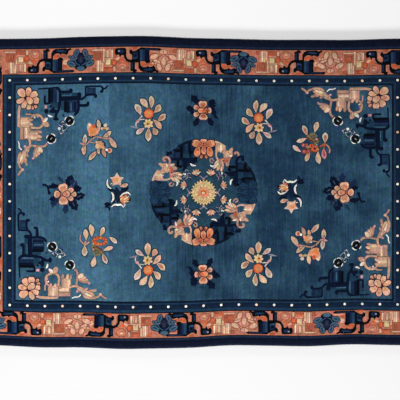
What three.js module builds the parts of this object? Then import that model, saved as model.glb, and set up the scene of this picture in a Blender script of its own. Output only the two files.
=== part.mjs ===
// A hand-knotted Peking rug lying flat on a floor, woven in one piece: a cotton foundation with
// cut wool pile, and an overcast edge all round. Its long sides wander as those of a hand-woven
// rug do. Millimetres, +X along the warps, +Y across them, +Z up out of the pile. The origin lies
// under the middle of the rug, on the floor.
import * as THREE from "three";

// Driving dimensions
const rugLength = 2800; // along the warps, end to end
const rugWidth = 1830; // across the warps, the mean of an uneven width
const foundationThickness = 3; // warps and wefts with the backs of the knots
const pileHeight = 8; // cut wool above the foundation
const edgeCordWidth = 9; // the overcast cord that finishes the edge
const edgeCordHeight = 6;
const cornerRadius = 24; // a corner of the cloth, rounded by its pile

// How finely the outline is drawn
const sideSteps = 72; // along each long side
const endSteps = 18; // along each end
const cornerSteps = 5;

// How far each long side stands out from the mean width, by the distance along the rug from its
// middle. far is the +Y side and near the -Y side, outwards is positive.
const sideWander = [
  { along: -1400, far: -4, near: -11 },
  { along: -1207, far: -3, near: -8 },
  { along: -970, far: 0, near: 4 },
  { along: -733, far: 9, near: 4 },
  { along: -496, far: 14, near: 13 },
  { along: -319, far: 14, near: 11 },
  { along: -82, far: 3, near: 6 },
  { along: 155, far: -2, near: -8 },
  { along: 392, far: -8, near: -6 },
  { along: 629, far: -8, near: -3 },
  { along: 866, far: -9, near: -14 },
  { along: 1103, far: -2, near: -10 },
  { along: 1400, far: 2, near: -6 },
];

// The edge in section, from the floor up and inwards: the overcast cord, the dip beside it and
// the round shoulder of the pile. inset is measured in from the outline.
const fullHeight = foundationThickness + pileHeight;
const edgeSection = [
  { inset: edgeCordWidth * 0.3, height: 0 },
  { inset: edgeCordWidth * 0.05, height: edgeCordHeight * 0.25 },
  { inset: 0, height: edgeCordHeight * 0.55 },
  { inset: edgeCordWidth * 0.25, height: edgeCordHeight * 0.95 },
  { inset: edgeCordWidth * 0.6, height: edgeCordHeight },
  { inset: edgeCordWidth, height: fullHeight - pileHeight * 0.35 },
  { inset: edgeCordWidth + pileHeight * 0.35, height: fullHeight - pileHeight * 0.1 },
  { inset: edgeCordWidth + pileHeight, height: fullHeight },
];

// One smooth line through the rows of the table for one side, read by the distance along the rug.
function wanderLine(side) {
  const rows = sideWander.map((row) => new THREE.Vector2(row.along, row[side]));
  const points = new THREE.SplineCurve(rows).getPoints(rows.length * 12);
  return (along) => {
    const next = points.findIndex((point) => point.x >= along);
    if (next <= 0) return points[next === 0 ? 0 : points.length - 1].y;
    const [a, b] = [points[next - 1], points[next]];
    return a.y + ((b.y - a.y) * (along - a.x)) / (b.x - a.x);
  };
}

const wanderFar = wanderLine("far");
const wanderNear = wanderLine("near");

// A point of the straight, even rug moved to where the uneven cloth has it.
function laid(x, y) {
  const share = (2 * y) / rugWidth;
  const shift = share > 0 ? wanderFar(x) * share : wanderNear(x) * share;
  return new THREE.Vector2(x, y + shift);
}

// The outline drawn in by an inset, counter-clockwise seen from above, with as many points for
// every inset so that the rings of the section join up one to one.
function outline(inset) {
  const halfX = rugLength / 2 - inset;
  const halfY = rugWidth / 2 - inset;
  const radius = cornerRadius - inset;
  const straightX = halfX - radius;
  const straightY = halfY - radius;
  const points = [];
  const corner = (signX, signY, startAngle) => {
    for (let step = 0; step <= cornerSteps; step++) {
      const angle = startAngle + ((Math.PI / 2) * step) / cornerSteps;
      const x = signX * straightX + radius * Math.cos(angle);
      const y = signY * straightY + radius * Math.sin(angle);
      points.push(laid(x, y));
    }
  };
  const straight = (from, to, steps) => {
    for (let step = 1; step < steps; step++) {
      const x = THREE.MathUtils.lerp(from[0], to[0], step / steps);
      const y = THREE.MathUtils.lerp(from[1], to[1], step / steps);
      points.push(laid(x, y));
    }
  };
  corner(1, -1, -Math.PI / 2);
  straight([halfX, -straightY], [halfX, straightY], endSteps);
  corner(1, 1, 0);
  straight([straightX, halfY], [-straightX, halfY], sideSteps);
  corner(-1, 1, Math.PI / 2);
  straight([-halfX, straightY], [-halfX, -straightY], endSteps);
  corner(-1, -1, Math.PI);
  straight([-straightX, -halfY], [straightX, -halfY], sideSteps);
  return points;
}

// The rings of the section joined into one closed skin, with a flat face below and above.
function rugGeometry() {
  const rings = edgeSection.map((row) => outline(row.inset));
  const perRing = rings[0].length;
  const positions = rings.flatMap((ring, level) =>
    ring.flatMap((point) => [point.x, point.y, edgeSection[level].height]),
  );
  const triangles = [];
  for (let level = 0; level + 1 < rings.length; level++) {
    for (let i = 0; i < perRing; i++) {
      const next = (i + 1) % perRing;
      const [a, b] = [level * perRing + i, level * perRing + next];
      const [c, d] = [a + perRing, b + perRing];
      triangles.push(a, b, d, a, d, c);
    }
  }
  const top = (rings.length - 1) * perRing;
  THREE.ShapeUtils.triangulateShape(rings[0], []).forEach(([a, b, c]) => triangles.push(a, c, b));
  THREE.ShapeUtils.triangulateShape(rings.at(-1), []).forEach(([a, b, c]) =>
    triangles.push(top + a, top + b, top + c),
  );
  const geometry = new THREE.BufferGeometry();
  geometry.setAttribute("position", new THREE.Float32BufferAttribute(positions, 3));
  geometry.setIndex(triangles);
  geometry.computeBoundingBox();
  const middle = geometry.boundingBox.getCenter(new THREE.Vector3());
  geometry.translate(-middle.x, -middle.y, 0);
  geometry.computeVertexNormals();
  return geometry;
}

const indigoWool = new THREE.MeshStandardMaterial({
  name: "indigo wool pile",
  color: "#2b4a60",
  roughness: 0.95,
  metalness: 0,
});

const rug = new THREE.Mesh(rugGeometry(), indigoWool);
rug.name = "rug";

const peking = new THREE.Group();
peking.name = "peking_rug";
peking.add(rug);

export default peking;
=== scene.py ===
import math

import bpy
import numpy as np
from mathutils.geometry import delaunay_2d_cdt
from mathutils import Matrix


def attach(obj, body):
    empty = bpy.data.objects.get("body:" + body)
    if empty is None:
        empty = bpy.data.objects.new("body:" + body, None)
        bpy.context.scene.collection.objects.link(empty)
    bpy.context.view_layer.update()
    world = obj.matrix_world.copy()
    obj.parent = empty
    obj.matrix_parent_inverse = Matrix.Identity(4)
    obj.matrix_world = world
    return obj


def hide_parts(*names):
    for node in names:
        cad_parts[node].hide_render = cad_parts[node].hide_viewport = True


# a hand-knotted Peking rug laid flat, metres, length along X, pile up
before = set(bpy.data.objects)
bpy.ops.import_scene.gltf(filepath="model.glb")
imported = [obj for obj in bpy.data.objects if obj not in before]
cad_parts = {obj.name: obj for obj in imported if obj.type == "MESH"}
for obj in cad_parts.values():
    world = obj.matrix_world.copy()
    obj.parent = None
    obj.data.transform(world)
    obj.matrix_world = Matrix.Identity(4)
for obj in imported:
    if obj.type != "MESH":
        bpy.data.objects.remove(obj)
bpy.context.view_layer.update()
scene = bpy.context.scene
scene.view_settings.view_transform = "Standard"  # dyes come out as their sRGB values

# the rug is woven in layers, heights above the floor
cloth = {
    "foundationTop": 0.003,
    "layerGap": 0.0002,  # keeps the foundation clear of the pile
    "pileTop": 0.011,
    "cordWidth": 0.009,  # overcast edge cord
    "cordHeight": 0.006,
    "cornerRadius": 0.024,
}

# the weaver's chart, in squares counted from its left and top edges, y down
chart = {
    "square": 0.005922,  # metres of rug to one square, about two knots
    "middle": (203.8, 192.4),
    "halfLength": 236.4,
    "halfWidth": 154.6,
    "fieldX": 188.0,  # half sizes of the field
    "fieldY": 107.6,
}

# wool dyes as sRGB
dyes = {
    "rim": "#0d1428", "rimLine": "#1b2942", "ink": "#04080f", "guardDark": "#0b1626",
    "guardBlue": "#1f3a55", "guardNavy": "#12233a", "field": "#33566d", "fieldDeep": "#264458",
    "salmon": "#be765f", "coral": "#b65d41", "blush": "#c88872", "sand": "#d9af92", "brick": "#8c4c3b",
    "peach": "#dc9670", "apricot": "#e2b196", "cream": "#ecd2b3", "straw": "#dcc294", "flame": "#d4643c",
    "rose": "#b9555a", "pink": "#cf979a", "lilac": "#8d8599", "maroon": "#381b26", "plum": "#2b2038",
    "garnet": "#78382f", "gold": "#bd9757", "olive": "#77704c", "sage": "#66705e", "black": "#0a0c10",
    "slate": "#3c6079", "navy": "#07132b", "navyMid": "#182b49", "navyBlue": "#26415f", "teal": "#466476",
    "tealBlue": "#4c5c72", "tealDeep": "#1b3a50", "white": "#efece4", "dove": "#8f99a3",
    "shade": "#1c313f", "amber": "#d9995c", "orange": "#df8654", "dusk": "#b48d7e", "ash": "#cfc4ba",
    "umber": "#5f3a30", "honey": "#c49674", "tan": "#c69c86", "clay": "#7f5b4c", "bone": "#d0b9a3",
    "russet": "#b7785d", "melon": "#d9a78c",
}


def turned(points, x, y, turn):
    # points about the origin turned anticlockwise and moved to x, y
    c, s = math.cos(math.radians(turn)), math.sin(math.radians(turn))
    return [(x + px * c + py * s, y - px * s + py * c) for px, py in points]


def oval(x, y, rx, ry, turn=0.0, count=12):
    angles = [2 * math.pi * i / count for i in range(count)]
    return turned([(rx * math.cos(a), ry * math.sin(a)) for a in angles], x, y, turn)


def leaf(x, y, length, width, turn, bow=0.0, full=0.85, belly=1.0, count=7):
    # a pointed leaf about its middle, turn anticlockwise from the chart's right
    upper, lower = [], []
    for i in range(count + 1):
        t = i / count
        half = width / 2 * math.sin(math.pi * t ** belly) ** full if 0 < i < count else 0.0
        along = (t - 0.5) * length
        side = bow * (1 - (2 * t - 1) ** 2)
        upper.append((along, side - half))
        lower.append((along, side + half))
    return turned(upper + lower[-2:0:-1], x, y, turn)


def petal(x, y, length, width, turn):
    return leaf(x, y, length, width, turn, full=0.5, belly=1.15, count=8)


def curve(points, steps=4):
    # a smooth line through the points
    line = []
    n = len(points)
    for i in range(n - 1):
        p0, p1, p2, p3 = points[max(i - 1, 0)], points[i], points[i + 1], points[min(i + 2, n - 1)]
        for k in range(steps):
            t = k / steps
            line.append(tuple(
                0.5 * (2 * b + (c - a) * t + (2 * a - 5 * b + 4 * c - d) * t * t
                       + (3 * b - a - 3 * c + d) * t ** 3)
                for a, b, c, d in zip(p0, p1, p2, p3)))
    return line + [points[-1]]


def stroke(points, width, tip=None):
    # a band along the points, mitred at the corners, tapering to tip
    n = len(points)
    normals = []
    for (x0, y0), (x1, y1) in zip(points, points[1:]):
        d = math.hypot(x1 - x0, y1 - y0) or 1e-6
        normals.append(((y1 - y0) / d, -(x1 - x0) / d))
    left, right = [], []
    for i, (x, y) in enumerate(points):
        ax, ay = normals[max(i - 1, 0)]
        bx, by = normals[min(i, n - 2)]
        k = max(1 + ax * bx + ay * by, 0.35)
        w = width / 2 if tip is None else (width + (tip - width) * i / (n - 1)) / 2
        mx, my = (ax + bx) / k * w, (ay + by) / k * w
        left.append((x + mx, y + my))
        right.append((x - mx, y - my))
    return left + right[::-1]


def crescent(points, width):
    # a thin moon, widest in the middle
    line = curve(points, 5)
    thin = 0.35  # share of the width left at the tips
    n = len(line) - 1
    left, right = [], []
    for i, (x, y) in enumerate(line):
        x0, y0 = line[max(i - 1, 0)]
        x1, y1 = line[min(i + 1, n)]
        d = math.hypot(x1 - x0, y1 - y0) or 1e-6
        w = width / 2 * (thin + (1 - thin) * math.sin(math.pi * i / n))
        left.append((x + (y1 - y0) / d * w, y - (x1 - x0) / d * w))
        right.append((x - (y1 - y0) / d * w, y + (x1 - x0) / d * w))
    return left + right[::-1]


def box(x0, y0, x1, y1):
    return [(x0, y0), (x1, y0), (x1, y1), (x0, y1)]


def starRing(x, y, outer, inner, points, turn=0.0):
    ring = []
    for i in range(points * 2):
        r = outer if i % 2 == 0 else inner
        a = math.radians(turn) + math.pi * i / points
        ring.append((x + r * math.cos(a), y - r * math.sin(a)))
    return ring


def place(shapes, x, y, turn=0.0, mirror=False):
    # shapes drawn about the origin put on the chart, mirror flips left and right first
    placed = []
    for name, ring in shapes:
        ring = [(-px, py) for px, py in ring] if mirror else ring
        placed.append((name, turned(ring, x, y, turn)))
    return placed


def frill(x, y, length, width, turn, lobes=1):
    # a broad petal about its middle, narrow at the base, its far edge in lobes
    local = [(-0.5 * length, -0.16 * width), (-0.22 * length, -0.4 * width)]
    count = 4 * lobes + 4
    deep = 0.24  # of the notch between two lobes
    for i in range(count + 1):
        share = i / count
        a = math.radians(170 * share - 85)
        notched = 0.5 < share * lobes < lobes - 0.5
        reach = 1 - deep * (1 - abs(math.sin(math.pi * lobes * share)) ** 0.7) * notched
        out, side = math.cos(a) ** 0.9, math.copysign(abs(math.sin(a)) ** 0.9, a)
        local.append((0.04 * length + 0.46 * length * reach * out, 0.5 * width * reach * side))
    local += [(-0.22 * length, 0.4 * width), (-0.5 * length, 0.16 * width)]
    return turned(local, x, y, turn)


def jagged(x, y, length, width, turn, teeth=3):
    # a leaf with a toothed edge
    upper, lower = [], []
    count = 2 * teeth + 1
    for i in range(count + 1):
        t = i / count
        half = width / 2 * math.sin(math.pi * t) ** 0.8 * (1.12 if i % 2 else 0.8)
        along = (t - 0.5) * length
        upper.append((along, -half))
        lower.append((along, half))
    return turned(upper + lower[-2:0:-1], x, y, turn)


bloomLook = {
    "shadow": 1.3,  # the contour under all the petals is this much larger than they are
    "rimLength": 0.4,  # each rim is a little smaller than its petal
    "rimWidth": 0.6,
    "inside": (0.12, 0.66),  # set back towards the base, and its size, as shares of the petal
    "core": (0.24, 0.38),
}


def bloom(petals, contour, ground, core, edge):
    # petals laid one over the other, each with a dark contour, a pale rim, an inside and a deep base:
    # x, y, length, width, turn, lobes, rim, inside
    shapes = []
    shadow = bloomLook["shadow"]
    for x, y, length, width, turn, lobes, *_ in petals:
        shapes.append((contour, frill(x, y, length + shadow, width + shadow, turn, lobes)))
    shapes += ground
    for x, y, length, width, turn, lobes, rim, inside in petals:
        c, s = math.cos(math.radians(turn)), math.sin(math.radians(turn))
        shapes.append((contour, frill(x, y, length + edge, width + edge, turn, lobes)))
        rimLength, rimWidth = length - bloomLook["rimLength"], width - bloomLook["rimWidth"]
        shapes.append((rim, frill(x, y, rimLength, rimWidth, turn, lobes)))
        for name, (back, size) in ((inside, bloomLook["inside"]), (core, bloomLook["core"])):
            dx, dy = -c * back * length, s * back * length
            shapes.append((name, frill(x + dx, y + dy, length * size, width * size, turn, lobes)))
    return shapes


def span(x0, y0, x1, y1):
    # middle, length and turn of a leaf from its base to its tip
    turn = math.degrees(math.atan2(y0 - y1, x1 - x0))
    return (x0 + x1) / 2, (y0 + y1) / 2, math.hypot(x1 - x0, y1 - y0), turn


def sprayLeaf(x0, y0, x1, y1, width, inside, rim, bow):
    # a leaf from its base to its tip: dark contour, pale rim, coloured inside
    longer, wider = 2.2, 2.0  # contour
    back, insideLong, insideWide, insideBow = 0.05, 0.7, 0.58, 0.6  # shares of the leaf
    x, y, length, turn = span(x0, y0, x1, y1)
    dx, dy = (x0 - x1) * back, (y0 - y1) * back
    within = (length * insideLong, width * insideWide, turn, bow * insideBow)
    return [
        ("shade", leaf(x, y, length + longer, width + wider, turn, bow, full=0.7, belly=1.4)),
        (rim, leaf(x, y, length, width, turn, bow, full=0.75, belly=1.4)),
        (inside, leaf(x + dx, y + dy, *within, full=0.75, belly=1.3)),
    ]


def sprayLeaves(rows):
    return [shape for row in rows for shape in sprayLeaf(*row)]


def boxes(rows):
    # dye, then left, top, right and bottom
    return [(name, box(*sides)) for name, *sides in rows]


def ovals(rows, count=8):
    # dye, then middle and half sizes
    return [(name, oval(x, y, rx, ry, 0, count)) for name, x, y, rx, ry in rows]


def leafRows(rows, full=0.85, belly=1.0):
    # dye, then middle, length, width and turn
    return [(name, leaf(*sizes, full=full, belly=belly)) for name, *sizes in rows]


def toothedLeaves(rows):
    # dye, then middle, length, width, turn and teeth
    return [(name, jagged(*sizes)) for name, *sizes in rows]


def strokes(rows, steps):
    # dye, width and points of a smooth line
    return [(name, stroke(curve(points, steps), width)) for name, width, points in rows]


def bands():
    # the plain rug: outer rim, main border, guard and field as frames laid on each other
    rows = (  # dye, in from the far side, from the near side, from the ends
        ("rim", 0.0, 0.0, 0.0), ("rimLine", 8.2, 8.0, 6.7), ("ink", 10.1, 9.9, 8.3),
        ("salmon", 11.0, 10.8, 9.0), ("ink", 36.0, 34.9, 35.0), ("guardBlue", 36.9, 35.9, 36.1),
        ("guardNavy", 39.2, 38.6, 39.0), ("guardBlue", 43.7, 43.5, 44.6), ("guardNavy", 44.8, 44.7, 45.9),
        ("guardDark", 45.8, 45.8, 47.2), ("field", 47.0, 47.0, 48.4),
    )
    cx, cy = chart["middle"]
    spacing = 4.0  # of the points along each line
    shapes = []
    for name, farIn, nearIn, endIn in rows:
        hx = chart["halfLength"] - endIn
        top, bottom = cy - chart["halfWidth"] + farIn, cy + chart["halfWidth"] - nearIn
        turns = [(cx - hx, top), (cx + hx, top), (cx + hx, bottom), (cx - hx, bottom)]
        ring = []
        for (x0, y0), (x1, y1) in zip(turns, turns[1:] + turns[:1]):
            steps = max(int(math.hypot(x1 - x0, y1 - y0) / spacing), 1)
            ring += [(x0 + (x1 - x0) * i / steps, y0 + (y1 - y0) * i / steps) for i in range(steps)]
        shapes.append((name, ring))
    return shapes


def pearls():
    # white dots with a dark halo round the guard
    left, right, top, bottom = 9.6, 397.6, 79.8, 305.6
    along, down = 22, 13
    halo, dot = (2.1, 2.1, 0, 8), (1.35, 1.3, 0, 8)
    spots = []
    for i in range(along + 1):
        x = left + (right - left) * i / along
        spots += [(x, top), (x, bottom)]
    for i in range(1, down):
        y = top + (bottom - top) * i / down
        spots += [(left, y), (right, y)]
    shapes = []
    for i, (x, y) in enumerate(spots):
        tint = "cream" if i % 11 == 7 else "white"  # a few are cream
        shapes += [("ink", oval(x, y, *halo)), (tint, oval(x, y, *dot))]
    return shapes


def borderFret():
    # fret of the main border, head at the top left: crane-like head and neck, stepped body, long clasp
    return [
        ("blush", box(12.4, 3.6, 15.6, 11.0)), ("coral", box(17.0, -0.6, 22.6, 2.0)),
        ("coral", oval(37.4, 6.2, 2.4, 2.2)), ("apricot", oval(37.8, 10.4, 2.6, 2.4)),
        ("straw", oval(41.6, 8.6, 3.0, 2.4)), ("blush", box(36.0, 3.0, 45.6, 4.6)),
        ("ink", [(0.0, 6.0), (-0.4, 3.2), (0.8, 1.0), (3.0, 0.5), (9.6, 0.3), (11.0, 1.4), (11.4, 5.0),
                 (11.2, 8.6), (12.6, 11.2), (15.0, 12.2), (24.0, 12.0), (24.0, 15.0), (14.4, 14.8),
                 (11.4, 13.4), (9.2, 10.2), (8.6, 7.6), (6.4, 7.6), (5.4, 9.6), (4.2, 7.8), (3.4, 6.6),
                 (2.2, 7.6), (0.8, 7.4)]),
        ("navyMid", [(2.6, 2.8), (4.0, 2.0), (8.2, 2.2), (8.9, 4.2), (7.8, 5.7), (4.4, 5.5), (3.0, 4.4)]),
        ("dove", oval(3.9, 3.4, 1.0, 0.9, 0, 8)),
        ("ink", [(14.2, 4.8), (14.8, 2.4), (16.6, 2.0), (17.6, 3.8), (20.0, 3.6), (22.4, 2.2), (24.0, 1.0),
                 (24.0, 13.0), (16.4, 13.0), (17.2, 9.6), (16.8, 7.2), (15.2, 6.6)]),
        ("navyMid", [(18.0, 5.4), (22.6, 4.6), (22.8, 9.4), (18.2, 10.2)]),
        ("navy", [(18.6, 6.8), (21.4, 6.2), (21.4, 9.0), (18.8, 9.4)]),
        ("navyBlue", [(17.6, 10.2), (20.4, 9.8), (22.8, 8.8), (22.6, 10.7), (19.8, 11.5), (17.8, 11.4)]),
        ("ink", box(15.4, 14.0, 20.0, 23.4)), ("navyMid", box(16.1, 15.0, 18.0, 21.6)),
        ("ink", [(18.4, 21.2), (21.6, 21.8), (22.0, 23.6), (20.2, 24.6), (17.6, 24.2)]),
        ("ink", [(23.2, 4.0), (23.8, 1.4), (25.6, 0.0), (44.8, 0.2), (46.4, 1.4), (45.8, 2.9), (34.4, 2.7),
                 (34.6, 12.0), (35.6, 13.4), (34.4, 15.4), (31.4, 15.6), (29.6, 13.8), (25.2, 13.8),
                 (25.4, 17.0), (26.8, 18.8), (29.0, 19.6), (31.6, 19.2), (33.0, 18.0), (34.2, 19.2),
                 (36.6, 18.8), (38.8, 17.8), (40.4, 19.4), (40.8, 21.6), (43.8, 23.2), (42.8, 24.6),
                 (39.6, 23.6), (37.6, 24.4), (28.0, 24.2), (25.2, 22.8), (23.4, 20.0)]),
        ("navyBlue", box(25.0, 2.2, 27.6, 13.6)), ("navyMid", box(27.6, 1.8, 29.8, 13.4)),
        ("navy", box(29.8, 2.4, 33.0, 12.4)),
        ("navyMid", stroke([(30.0, 1.5), (43.4, 1.6)], 1.0)),
        ("navyMid", [(28.0, 21.4), (31.6, 20.6), (37.4, 20.2), (38.6, 21.4), (37.0, 22.8), (28.8, 23.0)]),
        ("navyBlue", stroke([(30.4, 22.2), (36.4, 21.8)], 0.8)),
        ("flame", oval(28.0, 16.4, 2.2, 2.0)), ("coral", box(29.8, 15.8, 37.6, 17.8)),
    ]


def contouredBlocks(blocks):
    # dye, left, top, right, bottom, each on a slightly larger brick one
    shapes = []
    more = 0.45
    for name, x0, y0, x1, y1 in blocks:
        shapes.append(("brick", box(x0 - more, y0 - more, x1 + more, y1 + more)))
        shapes.append((name, box(x0, y0, x1, y1)))
    return shapes


def warmFret():
    # the fret's answer in warm wool, tone on tone, drawn back from the head of the next navy fret
    blocks = (
        ("blush", -10.0, 1.6, -3.6, 10.2), ("sand", -8.6, 2.6, -6.2, 9.6),
        ("cream", -3.6, 2.0, -1.9, 10.0), ("coral", -1.4, 1.2, 0.8, 9.6),
        ("sand", -12.2, 1.2, -10.4, 14.6), ("sand", -10.4, 10.2, -2.4, 11.6),
        ("straw", -9.4, 11.6, -4.6, 17.2), ("coral", -3.6, 11.8, 1.6, 18.0),
        ("flame", -2.4, 13.0, 0.6, 16.8), ("blush", -10.2, 17.2, -2.6, 19.0),
        ("coral", -11.2, 19.4, -2.2, 23.2), ("sand", -1.8, 18.8, 0.4, 23.4),
    )
    rounds = (
        ("brick", 7.4, 18.0, 6.9, 5.5), ("blush", 7.4, 18.0, 6.2, 4.8), ("coral", 7.6, 18.2, 5.4, 4.2),
        ("blush", 7.4, 18.8, 4.0, 3.0), ("salmon", 7.2, 19.2, 3.0, 2.2), ("sand", 7.2, 19.8, 1.6, 1.0),
        ("flame", 5.6, 12.2, 2.4, 1.8),
    )
    shapes = contouredBlocks(blocks) + ovals(rounds, 12)
    shapes.append(("sand", leaf(2.6, 11.0, 5.0, 2.4, 30)))
    shapes.append(("coral", oval(12.4, 13.8, 2.0, 1.6)))
    return shapes


def warmTail():
    # its tail beside the flower
    blocks = (
        ("sand", -23.0, 1.6, -12.4, 3.0), ("coral", -21.6, 4.4, -12.8, 11.6),
        ("salmon", -18.6, 5.6, -14.4, 10.2), ("coral", -17.4, 6.4, -14.8, 9.4),
        ("blush", -19.6, 12.6, -17.6, 23.4), ("cream", -17.6, 12.6, -15.4, 23.4),
        ("sand", -15.4, 12.6, -13.6, 23.4), ("apricot", -13.6, 14.6, -11.6, 23.4),
        ("coral", -22.6, 20.4, -19.6, 23.2),
    )
    return contouredBlocks(blocks)


def lotus(ground, contour, upper, lower, inside, heart, thread):
    # a lotus seen from the side, facing up: petals as x, y, length, width, turn
    crown = (
        (-7.0, -2.4, 8.4, 5.4, 30), (6.8, -2.6, 8.4, 5.2, 146), (-4.4, -7.0, 8.4, 4.8, 66),
        (4.4, -7.0, 8.6, 5.0, 112),
    )
    skirt = ((-9.2, 3.4, 9.4, 5.2, 156), (9.0, 3.0, 9.4, 5.2, 26))
    threads = (((1.0, 4.8), (4.4, 3.0), (6.2, -1.0)), ((6.6, -2.2), (9.0, -2.4), (11.0, -0.4)))
    shapes = [(ground, oval(0, -0.4, 10.4, 7.6, 0, 14)), (ground, oval(0, 6.6, 6.4, 3.6, 0, 10))]
    shapes.append((contour, oval(-0.2, 7.8, 4.6, 2.9, 0, 10)))
    shapes.append((lower, oval(-0.2, 8.0, 3.9, 2.2, 0, 10)))
    shapes.append((thread, stroke([(-0.2, 6.0), (-0.2, 9.8)], 0.6)))
    for dye, petals in ((upper, crown), (lower, skirt)):
        for x, y, length, width, turn in petals:
            shapes.append((contour, petal(x, y, length + 1.3, width + 1.3, turn)))
            shapes.append((dye, petal(x, y, length - 0.2, width - 0.4, turn)))
            shapes.append((inside, leaf(x, y, length * 0.66, width * 0.36, turn)))
    for side in (-1, 1):
        for points in threads:
            shapes.append((thread, stroke(curve([(side * x, y) for x, y in points], 3), 0.7)))
        shapes.append((contour, oval(side * 10.8, -3.6, 1.9, 1.8, 0, 8)))
        shapes.append((upper, oval(side * 10.8, -3.6, 1.3, 1.2, 0, 8)))
    shapes.append((contour, petal(0, -1.0, 9.4, 6.0, 90)))
    shapes.append((heart, petal(0, -1.0, 8.2, 4.8, 90)))
    shapes.append((inside, petal(0, -0.4, 4.8, 2.4, 90)))
    return shapes


def mainBorder():
    tealLotus = lotus("navy", "guardNavy", "tealBlue", "teal", "guardBlue", "plum", "slate")
    peachLotus = lotus("blush", "brick", "melon", "melon", "apricot", "melon", "brick")
    # start of the fret from the middle of its side, head up, flower from the start, flower is teal
    longUnits = (
        (-176.0, False, 53.0, True), (-88.8, True, 48.5, False), (-7.8, True, 47.5, True),
        (75.2, False, 51.5, False), (162.2, True, 49.0, True),
    )
    endUnits = ((-90.0, False, 51.0, False), (-3.6, True, 48.5, True), (82.7, True, 49.0, False))
    cx, cy = chart["middle"]
    tall = 24.0  # of a unit
    endIn, sideIn = 10.2, 11.6  # from the rug's edge to the units
    nearSqueeze = 0.965  # the near border is woven a little narrower
    shapes = []
    for turn in (0, 90, 180, 270):
        units = endUnits if turn % 180 else longUnits
        depth = chart["halfLength"] - endIn if turn % 180 else chart["halfWidth"] - sideIn
        squeeze = nearSqueeze if turn == 180 else 1.0
        side = []
        flowerUp = True
        for start, headUp, flowerAt, isTeal in units:
            for piece, up in ((warmFret(), headUp), (warmTail(), flowerUp), (borderFret(), headUp)):
                for name, ring in piece:
                    side.append((name, [(start + x, y if up else tall - y) for x, y in ring]))
            flowerUp = not headUp
            for name, ring in tealLotus if isTeal else peachLotus:
                flower = [(start + flowerAt + x, tall / 2 + (y if flowerUp else -y)) for x, y in ring]
                side.append((name, flower))
        side = [(name, [(x, y * squeeze - depth) for x, y in ring]) for name, ring in side]
        shapes += place(side, cx, cy, turn)
    return shapes


def navyArm():
    # navy arm of a corner: u along the edge from the corner, v into the field
    blocks = (
        ("ink", 32.2, 3.4, 34.8, 19.2), ("navy", 34.8, 3.4, 37.4, 18.6),
        ("navyMid", 37.4, 3.4, 39.4, 17.8), ("navyMid", 39.4, 3.4, 41.2, 18.2),
        ("slate", 41.2, 4.2, 42.8, 20.4), ("tealDeep", 45.0, 8.0, 54.8, 10.6),
        ("slate", 45.2, 10.6, 60.4, 11.8), ("navy", 45.0, 11.8, 61.8, 15.0),
        ("tealDeep", 55.6, 8.6, 61.4, 11.8), ("tealDeep", 45.2, 16.4, 48.2, 25.6),
        ("ink", 48.2, 16.6, 50.8, 28.0), ("navy", 50.8, 16.6, 53.4, 28.6),
        ("navyMid", 53.4, 16.6, 61.6, 28.4), ("slate", 54.6, 18.2, 56.0, 27.0),
        ("navy", 58.2, 17.2, 60.0, 27.6), ("navyMid", 71.0, 3.8, 80.0, 10.6),
        ("tealDeep", 73.4, 5.2, 76.6, 9.4),
    )
    shapes = boxes(blocks)
    shapes.append(("tealDeep", [(34.8, 18.0), (42.6, 17.6), (42.6, 23.4), (38.4, 24.2), (35.2, 21.6)]))
    lines = (  # width, points
        (2.2, [(29.0, 10.6), (28.9, 17.4), (30.2, 18.6), (33.4, 18.4)]),
        (1.5, [(22.2, 4.0), (30.0, 3.6), (41.0, 2.8)]),
        (2.9, [(40.6, 2.8), (43.2, 5.0), (44.3, 8.6), (44.1, 14.0), (43.8, 20.0), (43.0, 24.6),
               (41.2, 27.6), (40.0, 30.6), (39.8, 34.0)]),
        (2.6, [(44.2, 7.2), (50.0, 7.6), (54.6, 7.2)]),
        (2.2, [(44.0, 15.6), (52.0, 15.4), (61.0, 15.3), (66.2, 15.2)]),
        (2.3, [(65.4, 15.2), (68.2, 13.8), (70.4, 11.4), (74.0, 10.8), (79.6, 10.8)]),
        (1.9, [(69.9, 11.6), (69.8, 4.8), (71.4, 2.7), (85.4, 2.6)]),
        (2.2, [(85.2, 2.6), (87.0, 4.8), (86.4, 7.4)]), (1.7, [(86.8, 5.4), (90.0, 4.4), (91.8, 1.8)]),
        (2.5, [(62.4, 15.6), (62.9, 20.0), (62.6, 25.4), (61.2, 28.4), (58.2, 30.8)]),
        (3.0, [(63.2, 21.4), (67.0, 21.4), (72.0, 21.2)]),
    )
    shapes += strokes([("navy", *line) for line in lines], 3)
    knobs = (  # u, v and half sizes
        (40.2, 34.4, 3.0, 1.7), (30.6, 26.4, 2.4, 2.4), (34.8, 21.8, 1.2, 1.2), (37.4, 23.6, 1.4, 1.3),
        (55.0, 6.6, 2.0, 2.6), (79.8, 12.2, 1.7, 2.2), (85.9, 7.8, 1.9, 1.6), (72.2, 19.8, 1.5, 2.4),
    )
    shapes += ovals([("navy", *knob) for knob in knobs], 10)
    plates = (
        [(33.6, 25.4), (37.0, 23.6), (41.0, 25.6), (41.4, 28.2), (36.0, 28.6), (33.4, 27.8)],
        [(61.4, 9.4), (62.6, 8.2), (65.0, 8.4), (65.6, 10.2), (65.0, 14.8), (61.6, 14.8)],
    )
    shapes += [("navy", plate) for plate in plates]
    leaves = ((47.4, 30.8, 5.0, 2.2, -60), (44.6, 38.6, 5.0, 2.6, 70), (49.4, 44.0, 8.0, 3.6, -60))
    return shapes + leafRows([("tealDeep", *sizes) for sizes in leaves])


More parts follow.
